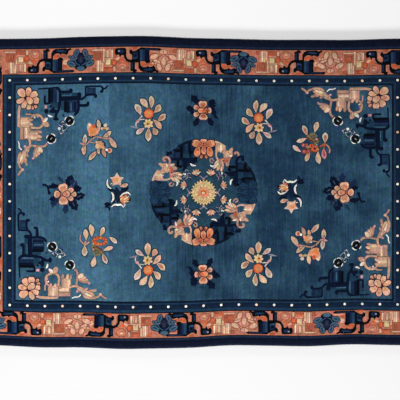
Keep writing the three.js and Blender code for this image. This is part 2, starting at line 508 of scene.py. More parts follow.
def peachArm():
    # peach arm of a corner, the same fret turning to acanthus
    blocks = (
        ("clay", 42.2, 3.8, 54.8, 13.0), ("dusk", 43.0, 4.4, 54.2, 7.4), ("tan", 43.0, 8.2, 54.0, 9.6),
        ("cream", 42.4, 9.6, 53.2, 11.2), ("melon", 42.4, 11.2, 54.2, 12.6),
        ("clay", 31.8, 2.4, 42.8, 14.8), ("tan", 32.4, 3.4, 34.8, 13.6), ("melon", 34.8, 3.4, 36.6, 14.8),
        ("cream", 36.6, 3.4, 38.2, 14.0), ("sand", 38.2, 3.4, 39.9, 15.0), ("tan", 39.9, 3.4, 42.3, 13.8),
        ("clay", 45.2, 12.6, 55.6, 23.6), ("dusk", 45.8, 12.6, 48.0, 23.2),
        ("tan", 48.0, 12.6, 50.6, 22.0), ("melon", 50.6, 12.6, 52.4, 23.6),
        ("cream", 52.4, 12.6, 54.0, 22.6), ("tan", 54.0, 13.0, 55.2, 22.0),
    )
    shapes = boxes(blocks)
    lines = (  # dye, width, points
        ("tan", 2.6, [(20.6, 4.4), (24.0, 3.3), (30.0, 2.9), (41.8, 2.8)]),
        ("dusk", 1.7, [(29.2, 9.8), (29.3, 14.6), (30.8, 16.6), (33.2, 14.6)]),
        ("tan", 2.3, [(30.8, 16.8), (29.8, 21.4), (31.8, 25.4), (36.4, 27.2), (41.2, 26.0), (43.2, 22.0),
                      (42.4, 14.6)]),
        ("melon", 2.1, [(53.6, 13.2), (58.0, 14.2), (62.6, 13.6), (66.8, 11.2)]),
        ("dusk", 2.2, [(58.6, 31.2), (61.2, 28.6), (61.8, 23.0), (60.8, 17.6), (60.5, 14.2)]),
        ("dusk", 2.0, [(78.4, 3.4), (82.2, 4.0), (84.8, 6.4), (86.8, 4.6), (90.4, 2.4)]),
    )
    for more in (1.0, 0.0):
        for name, width, points in lines:
            shapes.append(("shade" if more else name, stroke(curve(points, 3), width + more)))
    leaves = (  # dye, base u, v, tip u, v, width
        ("tan", 34.2, 12.6, 35.2, 17.2, 2.6), ("sand", 38.2, 13.0, 40.2, 17.0, 2.8),
        ("dusk", 46.4, 21.4, 47.4, 26.4, 2.6), ("apricot", 51.0, 21.0, 52.4, 26.2, 3.0),
        ("tan", 54.2, 20.4, 55.4, 25.2, 2.2), ("dusk", 46.0, 14.6, 42.8, 11.8, 2.2),
        ("tan", 37.4, 26.2, 41.2, 33.4, 5.0), ("melon", 38.6, 26.6, 39.4, 31.0, 2.2),
        ("cream", 37.6, 27.4, 32.8, 30.8, 2.8), ("dusk", 62.6, 20.2, 74.2, 18.0, 3.0),
        ("tan", 62.0, 21.0, 72.4, 20.8, 3.8), ("apricot", 62.0, 22.0, 70.2, 23.2, 4.0),
        ("cream", 62.2, 22.6, 67.6, 26.4, 4.2), ("tan", 61.0, 13.4, 71.6, 7.0, 4.6),
        ("dusk", 70.0, 7.4, 80.4, 11.0, 3.0), ("dusk", 66.8, 8.4, 72.2, 12.6, 2.8),
        ("tan", 70.4, 7.0, 76.0, 10.8, 2.6), ("melon", 64.8, 9.0, 79.0, 5.4, 4.8),
        ("tan", 67.0, 4.8, 80.0, 2.4, 4.0), ("cream", 68.2, 7.2, 77.0, 4.4, 2.6),
        ("bone", 63.6, 11.4, 69.6, 7.6, 1.8),
    )
    for name, u0, v0, u1, v1, width in leaves:
        u, v, length, turn = span(u0, v0, u1, v1)
        shapes.append(("clay", leaf(u, v, length + 0.8, width + 0.8, turn, full=0.5, belly=0.8)))
        shapes.append((name, leaf(u, v, length, width, turn, full=0.5, belly=0.8)))
    dots = (  # dye, u, v, radius
        ("sand", 84.6, 6.8, 1.4), ("dusk", 79.6, 10.6, 1.3), ("pink", 61.4, 9.0, 1.2),
        ("pink", 31.4, 21.8, 1.1), ("cream", 32.4, 18.8, 1.0), ("pink", 73.4, 17.2, 1.2),
    )
    shapes += ovals([(*dot, dot[-1]) for dot in dots])
    squiggle = curve([(56.2, 2.2), (59.2, 3.4), (62.2, 3.4), (65.0, 5.8)], 3)
    shapes += [("shade", stroke(squiggle, 2.2)), ("white", stroke(squiggle, 1.2))]
    return shapes


def rosette(x, y):
    # black rose with broken white rim, where the arms meet
    shapes = [("shade", oval(x, y, 4.9, 4.7, 20, 14))]
    arcs = ((18, 36, 1.2), (118, 24, 1.0), (210, 32, 1.3), (300, 34, 1.0))  # middle, half spread, width
    for middle, spread, width in arcs:
        points = []
        for turn in (middle - spread, middle, middle + spread):
            a = math.radians(turn)
            points.append((x + 4.8 * math.cos(a), y - 4.7 * math.sin(a)))
        shapes.append(("white", crescent(points, width)))
    for i in range(4):
        a = math.radians(90 * i + 20)
        shapes.append(("black", oval(x + 2.3 * math.cos(a), y - 2.2 * math.sin(a), 2.2, 2.1, 0, 8)))
    shapes.append(("black", oval(x, y, 2.6, 2.5, 0, 8)))
    shapes.append(("dove", leaf(x - 0.2, y, 3.2, 1.3, 45)))
    return shapes


def cornerPeony():
    # its petals are fanned round the point nearest the corner
    petals = (
        (7.8, 5.8, 9.8, 8.2, 150, 1, "apricot", "melon"),
        (6.6, 12.6, 9.2, 6.4, -172, 1, "apricot", "blush"),
        (9.8, 18.0, 9.0, 7.2, -124, 2, "apricot", "melon"),
        (15.6, 19.6, 8.6, 7.4, -88, 2, "apricot", "melon"),
        (21.6, 19.8, 4.2, 3.8, -45, 1, "melon", "blush"),
        (22.6, 16.4, 4.2, 3.6, -20, 1, "apricot", "blush"),
        (21.0, 12.6, 8.2, 5.6, -8, 2, "apricot", "melon"),
        (19.4, 8.4, 9.0, 5.6, 18, 2, "apricot", "melon"),
        (15.6, 4.6, 8.8, 5.8, 62, 1, "apricot", "melon"),
        (15.4, 13.8, 8.4, 7.0, -35, 1, "apricot", "melon"),
    )
    ground = [("garnet", oval(13.6, 11.6, 7.4, 7.0, 0, 12)), ("maroon", oval(12.8, 9.8, 2.4, 2.0, 0, 8))]
    return bloom(petals, "maroon", ground, "peach", 1.0)


def corners():
    cx, cy = chart["middle"]
    fx, fy = chart["fieldX"], chart["fieldY"]
    piece = peachArm() + [(name, [(v, u) for u, v in ring]) for name, ring in navyArm()]
    piece += cornerPeony() + rosette(54.0, 35.4) + rosette(36.4, 53.6)
    piece += [("white", oval(44.0, 43.4, 1.5, 1.4, 0, 8)), ("pink", box(20.4, 28.8, 23.4, 31.2))]
    moons = ([(33.0, 31.6), (35.4, 30.2), (36.8, 28.8)], [(30.2, 32.0), (31.4, 34.0), (31.8, 36.6)])
    piece += [("white", crescent(points, 1.8)) for points in moons]
    scrolls = (  # small grey ones between the roses
        [(40.0, 43.0), (42.0, 46.0), (39.6, 47.6), (41.6, 50.4)],
        [(43.4, 46.4), (46.2, 47.2), (45.0, 50.2), (42.6, 51.6)],
        [(46.6, 43.6), (49.0, 45.2), (47.8, 47.8)], [(38.4, 45.0), (37.0, 47.0), (38.6, 48.4)],
    )
    for line in scrolls:
        piece.append(("navyMid", stroke(curve(line, 3), 2.2)))
        piece.append(("dove", stroke(curve(line, 3), 0.8)))
        piece.append(("ash", oval(*line[1], 0.8, 0.7, 0, 6)))
    shapes = []
    # signs of the corner, and whether its peach arm lies along the end
    for sx, sy, turned in ((-1, -1, True), (1, -1, False), (-1, 1, False), (1, 1, True)):
        for name, ring in piece:
            ring = [(v, u) for u, v in ring] if turned else ring
            shapes.append((name, [(cx + sx * (fx - u), cy + sy * (fy - v)) for u, v in ring]))
    return shapes


def bigSpray():
    leaves = (  # base x, y, tip x, y, width, inside, rim, bow
        (-0.6, -8.4, -8.3, -17.9, 6.2, "apricot", "bone", 0.8),
        (2.7, -8.2, 2.2, -21.3, 5.4, "honey", "bone", 0.9),
        (5.2, -4.2, 11.8, -12.7, 6.0, "honey", "bone", 1.0),
        (8.4, 3.8, 17.0, -3.5, 5.8, "russet", "bone", 0.8),
        (4.5, 2.4, 12.8, 11.8, 5.3, "tan", "apricot", -0.8),
        (4.4, 10.2, 8.3, 17.8, 5.9, "dusk", "tan", -0.3),
        (0.2, 10.4, -0.1, 24.0, 6.4, "honey", "bone", 0.2),
        (-3.7, 10.8, -12.5, 17.0, 4.7, "pink", "ash", 0.3),
        (-7.6, -1.7, -13.2, -12.9, 6.2, "tan", "ash", 0.6),
    )
    shapes = sprayLeaves(leaves)
    tendrils = (  # width, tip, points
        (1.5, 1.0, [(-6.4, -1.4), (-9.0, 2.2), (-11.6, 4.6), (-12.6, 7.2), (-12.4, 9.4)]),
        (1.0, 0.8, [(-8.6, 2.8), (-5.0, 2.4), (-1.6, 3.0)]),
    )
    for width, tip, line in tendrils:
        shapes.append(("shade", stroke(curve(line, 4), width + 1.1, tip + 0.8)))
        shapes.append(("ash", stroke(curve(line, 4), width, tip)))
    shapes.append(("pink", leaf(-10.8, 4.4, 5.2, 2.8, 35)))
    shapes.append(("lilac", leaf(-14.0, 10.2, 9.6, 1.7, -12)))
    cup = [(math.radians(51.4 * i + 20), 2.8 if i % 2 else 3.2) for i in range(7)]
    for name, more, length, width in (("shade", 0.2, 5.2, 3.8), ("straw", 0.0, 4.2, 2.7)):
        for a, reach in cup:
            x, y = -0.2 + (reach + more) * math.cos(a), 6.6 - (reach + more) * math.sin(a)
            shapes.append((name, leaf(x, y, length, width, math.degrees(a), full=0.6)))
    return shapes + [
        ("amber", oval(-0.3, 6.4, 2.2, 2.4, 0, 10)), ("umber", oval(-0.7, 6.8, 1.0, 0.9, 0, 8)),
        ("maroon", oval(0.3, -3.3, 5.6, 5.4, 0, 14)), ("flame", starRing(0.3, -3.3, 5.1, 4.6, 9, 90)),
        ("orange", oval(-0.2, -3.1, 3.7, 3.7, 0, 10)), ("amber", oval(0.1, -3.7, 1.8, 1.6, 0, 8)),
    ]


def tulipSpray():
    leaves = (
        (0.6, -5.2, -0.3, -18.2, 4.1, "apricot", "bone", 0.5),
        (2.6, 1.7, 13.3, -6.6, 4.4, "honey", "bone", 0.5),
        (10.4, -1.5, 18.3, 10.3, 5.1, "tan", "sand", 0.5),
        (0.3, 12.5, -9.7, 22.5, 4.7, "blush", "bone", 0.5),
        (-13.3, 3.6, -14.3, 17.5, 4.6, "tan", "sand", 0.5),
        (-15.2, 9.8, -12.8, -3.8, 4.4, "dusk", "ash", 0.5),
        (3.7, 7.6, 7.6, 19.7, 3.7, "dusk", "dusk", 0.5), (0.5, 7.6, 0.8, 16.9, 3.0, "tan", "sand", 0.5),
    )
    shapes = sprayLeaves(leaves)
    stems = (  # width, points
        (1.4, [(-16.4, 5.2), (-12.6, 7.0), (-9.4, 4.4), (-7.0, 1.8), (-2.6, -0.6), (2.0, -0.2),
               (7.0, 1.0), (11.6, 1.2)]),
        (1.1, [(-8.2, 4.2), (-4.6, 5.2), (-1.0, 5.0)]), (1.1, [(-6.8, 1.8), (-6.8, -0.8), (-6.4, -2.4)]),
        (1.0, [(-2.4, -0.6), (-2.6, -4.0)]),
    )
    for width, line in stems:
        shapes.append(("shade", stroke(curve(line, 4), width + 1.0)))
        shapes.append(("dusk", stroke(curve(line, 4), width)))
    shapes += [("pink", leaf(-16.0, 6.2, 5.4, 1.6, -24)), ("shade", frill(-5.6, -6.2, 13.4, 11.0, 74, 3))]
    tulip = (
        ("apricot", -8.0, -8.0, 14.0, 5.6, 98), ("flame", -6.0, -7.2, 13.0, 6.4, 72),
        ("peach", -4.0, -5.4, 11.6, 7.0, 38), ("orange", -7.2, -5.8, 10.0, 5.2, 92),
        ("orange", -5.0, -5.0, 7.6, 3.0, 50),
    )
    shapes += leafRows(tulip, full=0.6, belly=1.3)
    shapes += [("cream", leaf(-8.4, -12.6, 4.6, 2.6, 150)), ("apricot", oval(-8.8, -3.4, 0.9, 1.8, 0, 8))]
    buds = (  # dye, x, y, radius
        ("shade", 6.2, -10.6, 4.0), ("straw", 3.8, -8.9, 1.4), ("gold", 6.2, -9.4, 1.5),
        ("ash", 7.2, -12.2, 2.0), ("apricot", 8.8, -8.8, 1.7),
    )
    shapes += ovals([(*bud, bud[-1] * 0.92) for bud in buds])
    shapes += [("shade", oval(2.0, 7.4, 5.8, 5.0, 0, 12)), ("dusk", frill(1.2, 7.4, 9.2, 8.4, 70, 3)),
               ("sand", frill(-0.4, 8.4, 5.4, 4.4, 200, 1)), ("amber", oval(2.3, 7.4, 2.1, 2.3, 0, 10)),
               ("peach", oval(4.8, 9.6, 1.7, 2.2, 30, 8)), ("umber", oval(0.8, 2.6, 1.5, 1.1, 0, 8)),
               ("straw", oval(-1.8, 4.4, 1.0, 0.9, 0, 8))]
    shapes += [("shade", oval(11.0, 12.8, 3.4, 3.2, 0, 10)), ("apricot", oval(11.4, 12.9, 2.5, 2.5, 0, 10)),
               ("coral", oval(10.9, 12.6, 1.7, 1.8, 0, 8)), ("white", oval(8.4, 11.9, 1.4, 1.3, 0, 8))]
    return shapes


def berrySpray(ringed=False):
    leaves = (
        (-1.1, -5.2, -5.3, -15.7, 5.0, "russet", "ash", 0.3),
        (6.6, -8.2, 9.6, -19.3, 5.4, "sand", "bone", -0.3),
        (16.8, 2.4, 17.2, -8.6, 5.8, "honey" if ringed else "russet", "ash", 0.0),
        (-1.2, -2.8, -11.8, 0.9, 4.3, "apricot", "bone", -0.5),
        (-7.0, 11.2, -15.5, 4.5, 4.3, "apricot", "ash", -0.5),
        (1.8, 11.2, -2.4, 21.1, 4.6, "honey", "bone", 0.3),
        (10.0, 10.4, 11.3, 23.6, 5.5, "sand", "bone", 0.8),
        (15.4, 7.0, 16.5, 18.8, 5.1, "sand" if ringed else "rose", "bone" if ringed else "pink", 0.2),
    )
    shapes = sprayLeaves(leaves)
    grapes = (  # x, y, half sizes, dye
        (4.4, -2.6, 7.0, 4.0, "umber"), (7.6, 0.6, 3.2, 4.0, "umber"), (0.6, -4.4, 2.2, 1.3, "olive"),
        (3.0, -6.4, 1.7, 1.4, "olive"), (5.6, -7.0, 1.7, 1.4, "olive"), (7.8, -5.0, 1.6, 1.7, "sage"),
        (4.8, -4.0, 1.5, 1.2, "sage"), (2.8, -2.2, 1.6, 1.1, "olive"), (5.6, -0.8, 1.5, 1.1, "olive"),
        (8.4, -1.6, 1.5, 1.2, "dusk"), (9.6, 1.0, 1.1, 1.6, "olive"), (7.2, 2.6, 1.6, 1.4, "olive"),
    )
    shapes += [(name, oval(x, y, rx, ry, -25, 10)) for x, y, rx, ry, name in grapes]
    vine = "dusk" if ringed else "coral"
    vines = (  # dye, width, points
        ("shade", 2.8, [(11.2, 6.0), (14.6, 4.2), (17.6, 3.2), (15.8, 6.6)]),
        (vine, 1.7, [(11.8, 6.0), (14.6, 4.2), (17.2, 2.8), (15.8, 6.6)]),
        ("shade", 2.6, [(17.8, 3.6), (20.6, 6.4), (21.6, 9.4), (21.0, 12.4)]),
        ("dusk", 1.5, [(17.8, 3.6), (20.6, 6.4), (21.6, 9.4), (21.0, 12.4)]),
    )
    shapes += strokes(vines, 4)
    beads = (  # x, y, radius, dye, spot
        (-4.6, 4.6, 2.0, "rose", "pink"), (-2.0, 4.4, 1.5, "coral", "maroon"),
        (-0.8, 6.6, 1.7, "dusk", "maroon"), (-2.2, 9.2, 1.6, "umber", "maroon"),
        (-4.0, 11.1, 2.0, "rose", "pink"), (-1.2, 12.0, 1.6, "coral", "maroon"),
        (0.9, 10.2, 1.7, "rose", "rose"), (2.8, 5.4, 2.0, "flame", "coral"),
        (3.6, 10.0, 1.8, "umber", "rose"), (5.2, 5.2, 1.9, "coral", "flame"),
        (6.8, 8.0, 3.6, "flame", "maroon"), (9.2, 8.6, 1.6, "orange", "flame"),
    )
    # or a ring of them round a blue eye
    ring = []
    for i in range(11):
        a = math.radians(360 / 11 * i)
        x, y = 1.6 + 6.0 * math.cos(a), 6.8 + 3.2 * math.sin(a)
        ring.append((x, y, 1.9 if x > 2 else 1.6, "orange" if i % 3 == 0 else "flame", "coral"))
    for x, y, r, name, spot in ring if ringed else beads:
        shapes.append(("umber", oval(x, y, r + 0.5, r + 0.4, 0, 10)))
        shapes.append((name, oval(x, y, r, r * 0.94, 0, 10)))
        shapes.append((spot, oval(x - 0.3, y - 0.2, r * 0.36, r * 0.34, 0, 6)))
    shapes.append(("ash", oval(8.6, 4.0, 0.8, 0.7, 0, 6)))
    return shapes


def ringedBerrySpray():
    return berrySpray(True)


def sidePeony():
    leaves = (
        ("navy", -11.5, -7.6, 12.6, 5.0, 8, 2), ("navy", -12.4, -9.8, 5.0, 2.2, 70, 1),
        ("tealDeep", -4.4, -14.6, 8.4, 3.8, -45, 2), ("navy", 4.6, -13.0, 13.4, 8.6, 68, 3),
        ("navyMid", 8.8, -10.8, 10.4, 6.6, -34, 2), ("navy", 11.4, -4.8, 12.0, 6.8, 14, 3),
        ("navy", 13.8, 2.4, 14.0, 7.6, 16, 3), ("navy", 8.2, 10.0, 15.4, 9.0, -60, 3),
        ("navyMid", 0.6, 15.0, 10.4, 6.2, -95, 2), ("navyMid", -10.6, 7.0, 14.4, 7.6, -108, 3),
        ("navy", -12.4, 4.8, 8.0, 5.4, 190, 1),
    )
    veins = ((9.4, -10.6, 5.6, 0.9, 62), (14.0, 2.4, 5.0, 0.9, 28), (8.6, 10.4, 5.0, 0.9, -62))
    stem = [(-22.6, -8.8), (-20.0, -9.2), (-17.4, -7.2), (-16.6, -3.6), (-15.6, -1.0)]
    shapes = toothedLeaves(leaves) + leafRows([("tealBlue", *sizes) for sizes in veins])
    shapes.append(("navy", stroke(curve(stem, 4), 2.2)))
    shapes.append(("navy", oval(-15.8, -0.8, 1.8, 1.5, 0, 8)))
    petals = (
        (-8.0, 0.2, 6.4, 7.8, 180, 1, "apricot", "blush"), (8.9, 0.2, 5.4, 5.4, 5, 1, "bone", "blush"),
        (-1.9, -6.0, 9.8, 9.8, 104, 2, "apricot", "blush"),
        (-1.7, 6.6, 9.4, 9.8, -84, 2, "apricot", "blush"),
        (5.0, -3.3, 7.8, 5.6, 28, 1, "apricot", "blush"),
        (5.0, 3.9, 7.4, 5.4, -32, 1, "apricot", "blush"), (1.2, 0.0, 7.8, 6.2, 4, 1, "melon", "salmon"),
    )
    ground = [("garnet", oval(-1.0, 0.4, 7.0, 6.6)), ("salmon", oval(-3.8, 0.2, 2.4, 2.8, 0, 8))]
    return shapes + bloom(petals, "maroon", ground, "peach", 1.1)


def topPeony():
    leaves = (
        ("navy", -8.4, -11.0, 11.4, 7.0, 128, 2), ("navy", -6.0, -9.4, 6.4, 5.0, 150, 1),
        ("tealDeep", 1.0, -12.5, 7.0, 2.8, 0, 1), ("navy", 8.8, -7.4, 9.6, 7.6, 55, 3),
        ("navy", 10.0, -4.6, 6.6, 5.0, 10, 1), ("navy", -12.8, -1.6, 9.8, 6.2, 168, 2),
        ("navy", -11.0, 1.8, 6.4, 4.4, 122, 1), ("navy", 10.8, 1.4, 11.0, 5.2, -75, 2),
        ("navy", 12.8, 6.4, 6.4, 3.4, -40, 1), ("navy", 7.6, 11.4, 10.2, 6.0, -60, 2),
        ("navy", -6.8, 11.8, 10.4, 6.0, -118, 2),
    )
    petals = (
        (-6.7, -2.9, 5.8, 5.4, 166, 1, "apricot", "blush"),
        (-6.7, 4.0, 5.8, 5.4, -158, 1, "apricot", "blush"),
        (6.3, 0.0, 4.6, 6.4, 0, 1, "apricot", "blush"),
        (-0.2, -6.2, 7.6, 9.2, 90, 2, "apricot", "salmon"),
        (0.3, 6.5, 6.8, 9.2, -90, 2, "apricot", "salmon"), (3.2, 0.2, 6.2, 3.2, 90, 1, "salmon", "coral"),
        (-1.2, 0.2, 8.4, 5.8, 180, 1, "peach", "orange"),
    )
    ground = [("garnet", oval(-0.4, 0.4, 5.2, 5.6))]
    return toothedLeaves(leaves) + bloom(petals, "maroon", ground, "coral", 1.1)


def butterfly():
    body = (
        ("guardNavy", 0.4, 3.0, 17.0, 7.0, 96), ("navy", 8.4, -3.2, 9.0, 5.4, 18),
        ("guardNavy", 5.2, 0.6, 8.0, 4.4, 30), ("navy", -8.8, 12.4, 8.4, 4.2, 175),
        ("navy", -9.8, 14.6, 5.0, 2.8, 10), ("navy", -7.4, 16.4, 5.4, 2.4, -70),
        ("guardNavy", -3.4, 9.6, 8.0, 4.0, -64), ("navy", -5.0, -1.6, 9.0, 3.0, -16),
        ("navy", 12.6, 8.4, 6.4, 2.8, 60),
    )
    shapes = leafRows(body)
    arcs = (  # dye, width, points
        ("white", 1.9, [(-9.1, -12.3), (-9.3, -7.8), (-8.0, -4.8), (-5.4, -3.3)]),
        ("white", 2.0, [(-5.0, 0.7), (-3.6, 3.2), (-3.4, 7.2), (-5.2, 10.2)]),
        ("white", 1.9, [(3.4, 5.4), (5.4, 3.2), (8.4, 1.4), (11.4, 0.8), (13.9, 3.2)]),
        ("white", 2.0, [(-5.2, 15.0), (-2.1, 12.7), (1.4, 13.0), (4.4, 12.8), (7.2, 15.4)]),
        ("bone", 1.6, [(-6.3, -7.6), (-3.6, -8.4), (-0.3, -8.4)]),
    )
    shapes += [("guardDark", crescent(points, width + 2.0)) for _, width, points in arcs]
    shapes += [(name, crescent(points, width)) for name, width, points in arcs]
    stars = (("shade", -11.8, 8.4, 4.6), ("ash", -11.8, 7.6, 4.0), ("apricot", -11.4, 5.6, 4.2))
    shapes += [(name, starRing(0.3, y, outer, inner, 5, 90)) for name, y, outer, inner in stars]
    spots = (
        ("peach", -2.8, -11.4, 1.9, 2.2), ("amber", 0.5, -12.2, 1.5, 2.4), ("cream", 1.0, -9.4, 1.7, 0.9),
    )
    shapes += ovals(spots)
    shapes += sprayLeaf(2.8, -5.4, 11.6, -7.6, 3.8, "blush", "bone", 0.4)
    shapes.append(("maroon", frill(7.4, 7.6, 11.0, 9.6, 32, 2)))
    wing = (
        ("salmon", 6.4, 10.6, 5.6, 2.6, -28), ("orange", 5.4, 6.6, 7.0, 3.2, 76),
        ("peach", 7.6, 6.2, 8.8, 2.6, 52), ("cream", 9.0, 6.9, 9.0, 1.7, 38),
        ("orange", 9.2, 8.2, 8.4, 2.0, 22), ("bone", 9.2, 9.6, 7.0, 1.6, 4),
        ("ash", 8.0, 13.0, 3.4, 1.5, 80), ("cream", 4.4, 7.4, 2.4, 1.6, 60),
    )
    return shapes + leafRows(wing, full=0.6)


def medallionQuarter():
    # a quarter of the medallion about its top: navy fret to the left, peach acanthus to the right
    shapes = [
        ("guardBlue", oval(-21.5, -37.4, 17.0, 9.6, 30, 16)),
        ("guardNavy", oval(0.0, -45.0, 12.0, 7.0, 0, 14)),
        ("guardNavy", oval(-19.0, -40.4, 12.6, 8.4, 32, 14)),
        ("guardNavy", oval(-17.0, -31.0, 8.0, 5.4, 20, 12)),
    ]
    blocks = (
        ("navy", -21.6, -49.0, -20.1, -36.0), ("navyMid", -20.1, -49.4, -18.0, -36.0),
        ("tealDeep", -18.0, -49.6, -16.2, -36.0), ("navyMid", -16.2, -49.8, -15.2, -36.0),
        ("ink", -15.2, -50.2, -13.2, -37.4), ("tealDeep", -20.6, -39.4, -14.6, -34.6),
        ("navyMid", -27.6, -40.5, -22.6, -34.5), ("ink", -27.1, -33.6, -24.3, -25.0),
        ("tealDeep", -24.1, -34.0, -22.1, -27.6), ("navy", -21.6, -34.4, -8.0, -30.8),
        ("navy", -20.6, -31.5, -16.8, -22.4),
    )
    lines = (
        ("navy", 2.4, [(-11.4, -51.5), (-16.6, -50.1), (-20.6, -48.1), (-24.2, -46.2)]),
        ("ink", 3.0, [(-21.4, -45.6), (-22.8, -42.4), (-26.4, -41.4), (-29.2, -42.4)]),
        ("ink", 2.6, [(-22.4, -43.0), (-22.2, -38.0), (-22.4, -33.6)]),
        ("navy", 2.6, [(-35.6, -40.6), (-36.2, -37.4), (-34.6, -34.2), (-31.0, -32.8), (-26.8, -33.3),
                       (-21.4, -33.2)]),
        ("navy", 3.0, [(-13.6, -34.5), (-12.6, -31.0), (-9.6, -30.4), (-6.8, -32.8)]),
        ("ink", 1.8, [(-13.6, -38.6), (-12.2, -39.4), (-11.6, -41.0)]),
    )
    knobs = (
        ("navy", -33.4, -39.1, 1.9, 1.9), ("navy", -29.2, -42.2, 1.6, 1.4),
        ("navy", -24.0, -46.4, 1.5, 1.3), ("ink", -23.0, -25.6, 1.9, 1.5),
        ("navy", -19.2, -22.4, 2.4, 1.5), ("ink", -7.8, -34.0, 1.7, 1.5), ("ink", -11.6, -40.6, 1.5, 1.3),
    )
    shapes += boxes(blocks) + strokes(lines, 3) + ovals(knobs, 10)
    stripes = (  # dye, x0, x1, how far down
        ("tan", 11.9, 14.0, -39.2), ("melon", 14.0, 16.2, -40.6), ("cream", 16.2, 18.0, -39.8),
        ("melon", 18.0, 19.9, -40.8), ("tan", 19.9, 22.0, -38.6),
    )
    for name, x0, x1, low in stripes:
        top = -49.6 + (x0 - 11.9) * 0.34
        foot = [(x1, low - 0.9), ((x0 + x1) / 2, low), (x0, low - 0.9)]
        shapes.append((name, [(x0, top), (x1, top + 0.6)] + foot))
    leaves = (  # dye, x, y, length, width, turn
        ("melon", 22.6, -39.4, 8.4, 5.4, -28), ("sand", 24.4, -38.0, 10.0, 7.4, 28),
        ("melon", 27.0, -41.6, 7.8, 3.2, 62), ("apricot", 23.8, -38.0, 6.0, 3.4, 25),
        ("cream", 26.8, -36.8, 4.6, 2.2, 8), ("dusk", 24.6, -31.0, 10.0, 4.6, -106),
        ("cream", 27.6, -31.4, 5.4, 2.0, -76), ("coral", 22.6, -31.8, 6.0, 2.4, -150),
        ("sand", 14.8, -29.4, 10.4, 6.2, 40), ("melon", 17.6, -27.4, 12.0, 5.0, -86),
        ("dusk", 16.9, -27.8, 8.6, 2.4, -86), ("cream", 12.6, -26.8, 7.6, 2.8, -134),
        ("melon", 14.8, -24.8, 7.2, 2.6, -114), ("cream", 17.8, -23.6, 5.4, 1.8, -92),
    )
    for name, x, y, length, width, turn in leaves:
        shapes.append(("clay", leaf(x, y, length + 0.9, width + 0.8, turn, full=0.6)))
        shapes.append((name, leaf(x, y, length, width, turn, full=0.6)))
    scrolls = (
        ("sand", 1.7, [(8.0, -51.6), (12.6, -50.7), (17.6, -48.6), (21.8, -46.0)]),
        ("dusk", 2.1, [(26.6, -34.6), (31.9, -33.8), (34.9, -36.0), (34.4, -39.6), (32.2, -40.2),
                       (31.2, -38.2)]),
        ("salmon", 1.5, [(14.6, -32.8), (20.4, -33.6), (26.8, -34.2)]),
        ("sand", 1.5, [(12.6, -40.0), (12.8, -36.0), (14.2, -33.2)]),
        ("dusk", 1.3, [(10.0, -31.5), (8.6, -34.0), (6.6, -33.2), (7.0, -30.8), (9.4, -29.8)]),
    )
    shapes += strokes(scrolls, 4)
    shapes.append(("umber", oval(32.4, -37.0, 1.1, 1.1, 0, 8)))
    moons = ([(-13.4, -29.0), (-11.2, -27.2), (-7.6, -26.9)], [(6.6, -27.4), (8.9, -26.1), (11.2, -27.2)])
    for points in moons:
        shapes += [("ink", crescent(points, 2.8)), ("white", crescent(points, 1.7))]
    # two buds on a forked stem
    budPetals = (  # turn, length, dye
        (158, 5.6, "sand"), (128, 6.4, "apricot"), (96, 6.0, "peach"), (68, 6.8, "honey"),
        (36, 5.6, "ash"),
    )
    for side in (-1, 1):
        stem = [(-0.4, -13.4), (side * 2.6, -16.0), (side * 6.6, -17.6)]
        shapes.append(("lilac", stroke(curve(stem, 3), 0.9)))
        shapes.append(("shade", oval(side * 7.1, -19.6, 5.0, 4.0, 0, 10)))
        for turn, length, name in budPetals:
            a = math.radians(turn)
            x, y = side * (7.1 - 2.4 * math.cos(a)), -18.0 - 2.4 * math.sin(a)
            shapes.append((name, leaf(x, y, length, 2.0, turn if side < 0 else 180 - turn, full=0.6)))
        shapes.append(("salmon", oval(side * 7.1, -17.8, 1.5, 1.0, 0, 8)))
    for x in (-19.6, 18.2):
        shapes += [("ink", oval(x, -18.5, 1.7, 1.6, 0, 8)), ("white", oval(x, -18.5, 1.1, 1.0, 0, 8))]
    tendrils = (
        [(-20.6, -15.4), (-17.4, -16.2), (-15.4, -19.4), (-12.8, -18.4)],
        [(-17.2, -12.8), (-14.8, -15.2), (-12.4, -14.6)],
        [(-15.2, -21.8), (-17.6, -22.6), (-18.4, -20.8)], [(13.0, -18.4), (15.0, -16.2), (17.6, -15.6)],
    )
    for line in tendrils:
        shapes += strokes((("shade", 2.2, line), ("lilac", 0.8, line)), 3)
    return shapes


def medallionFlower(contour, rim, inside, drop, tip, stem, heart, core):
    petals = (
        (-6.2, -48.8, 11.8, 7.8, 166, 2, rim, inside), (6.2, -48.8, 11.8, 7.8, 14, 2, rim, inside),
        (0.0, -51.6, 4.4, 7.0, 90, 2, tip, rim), (-6.2, -40.8, 10.4, 7.0, -102, 1, rim, drop),
        (6.2, -40.8, 10.4, 7.0, -78, 1, rim, drop), (-2.3, -36.0, 4.2, 3.2, -105, 1, rim, inside),
        (2.5, -36.0, 4.2, 3.2, -75, 1, rim, inside), (0.2, -42.4, 8.8, 5.6, -90, 1, rim, inside),
    )
    ground = [(heart, oval(0.0, -45.0, 6.6, 5.4))]
    for side in (-1, 1):
        ground.append((stem, stroke([(side * 3.4, -46.6), (side * 3.2, -38.0)], 1.5)))
    return bloom(petals, contour, ground, core, 1.0)


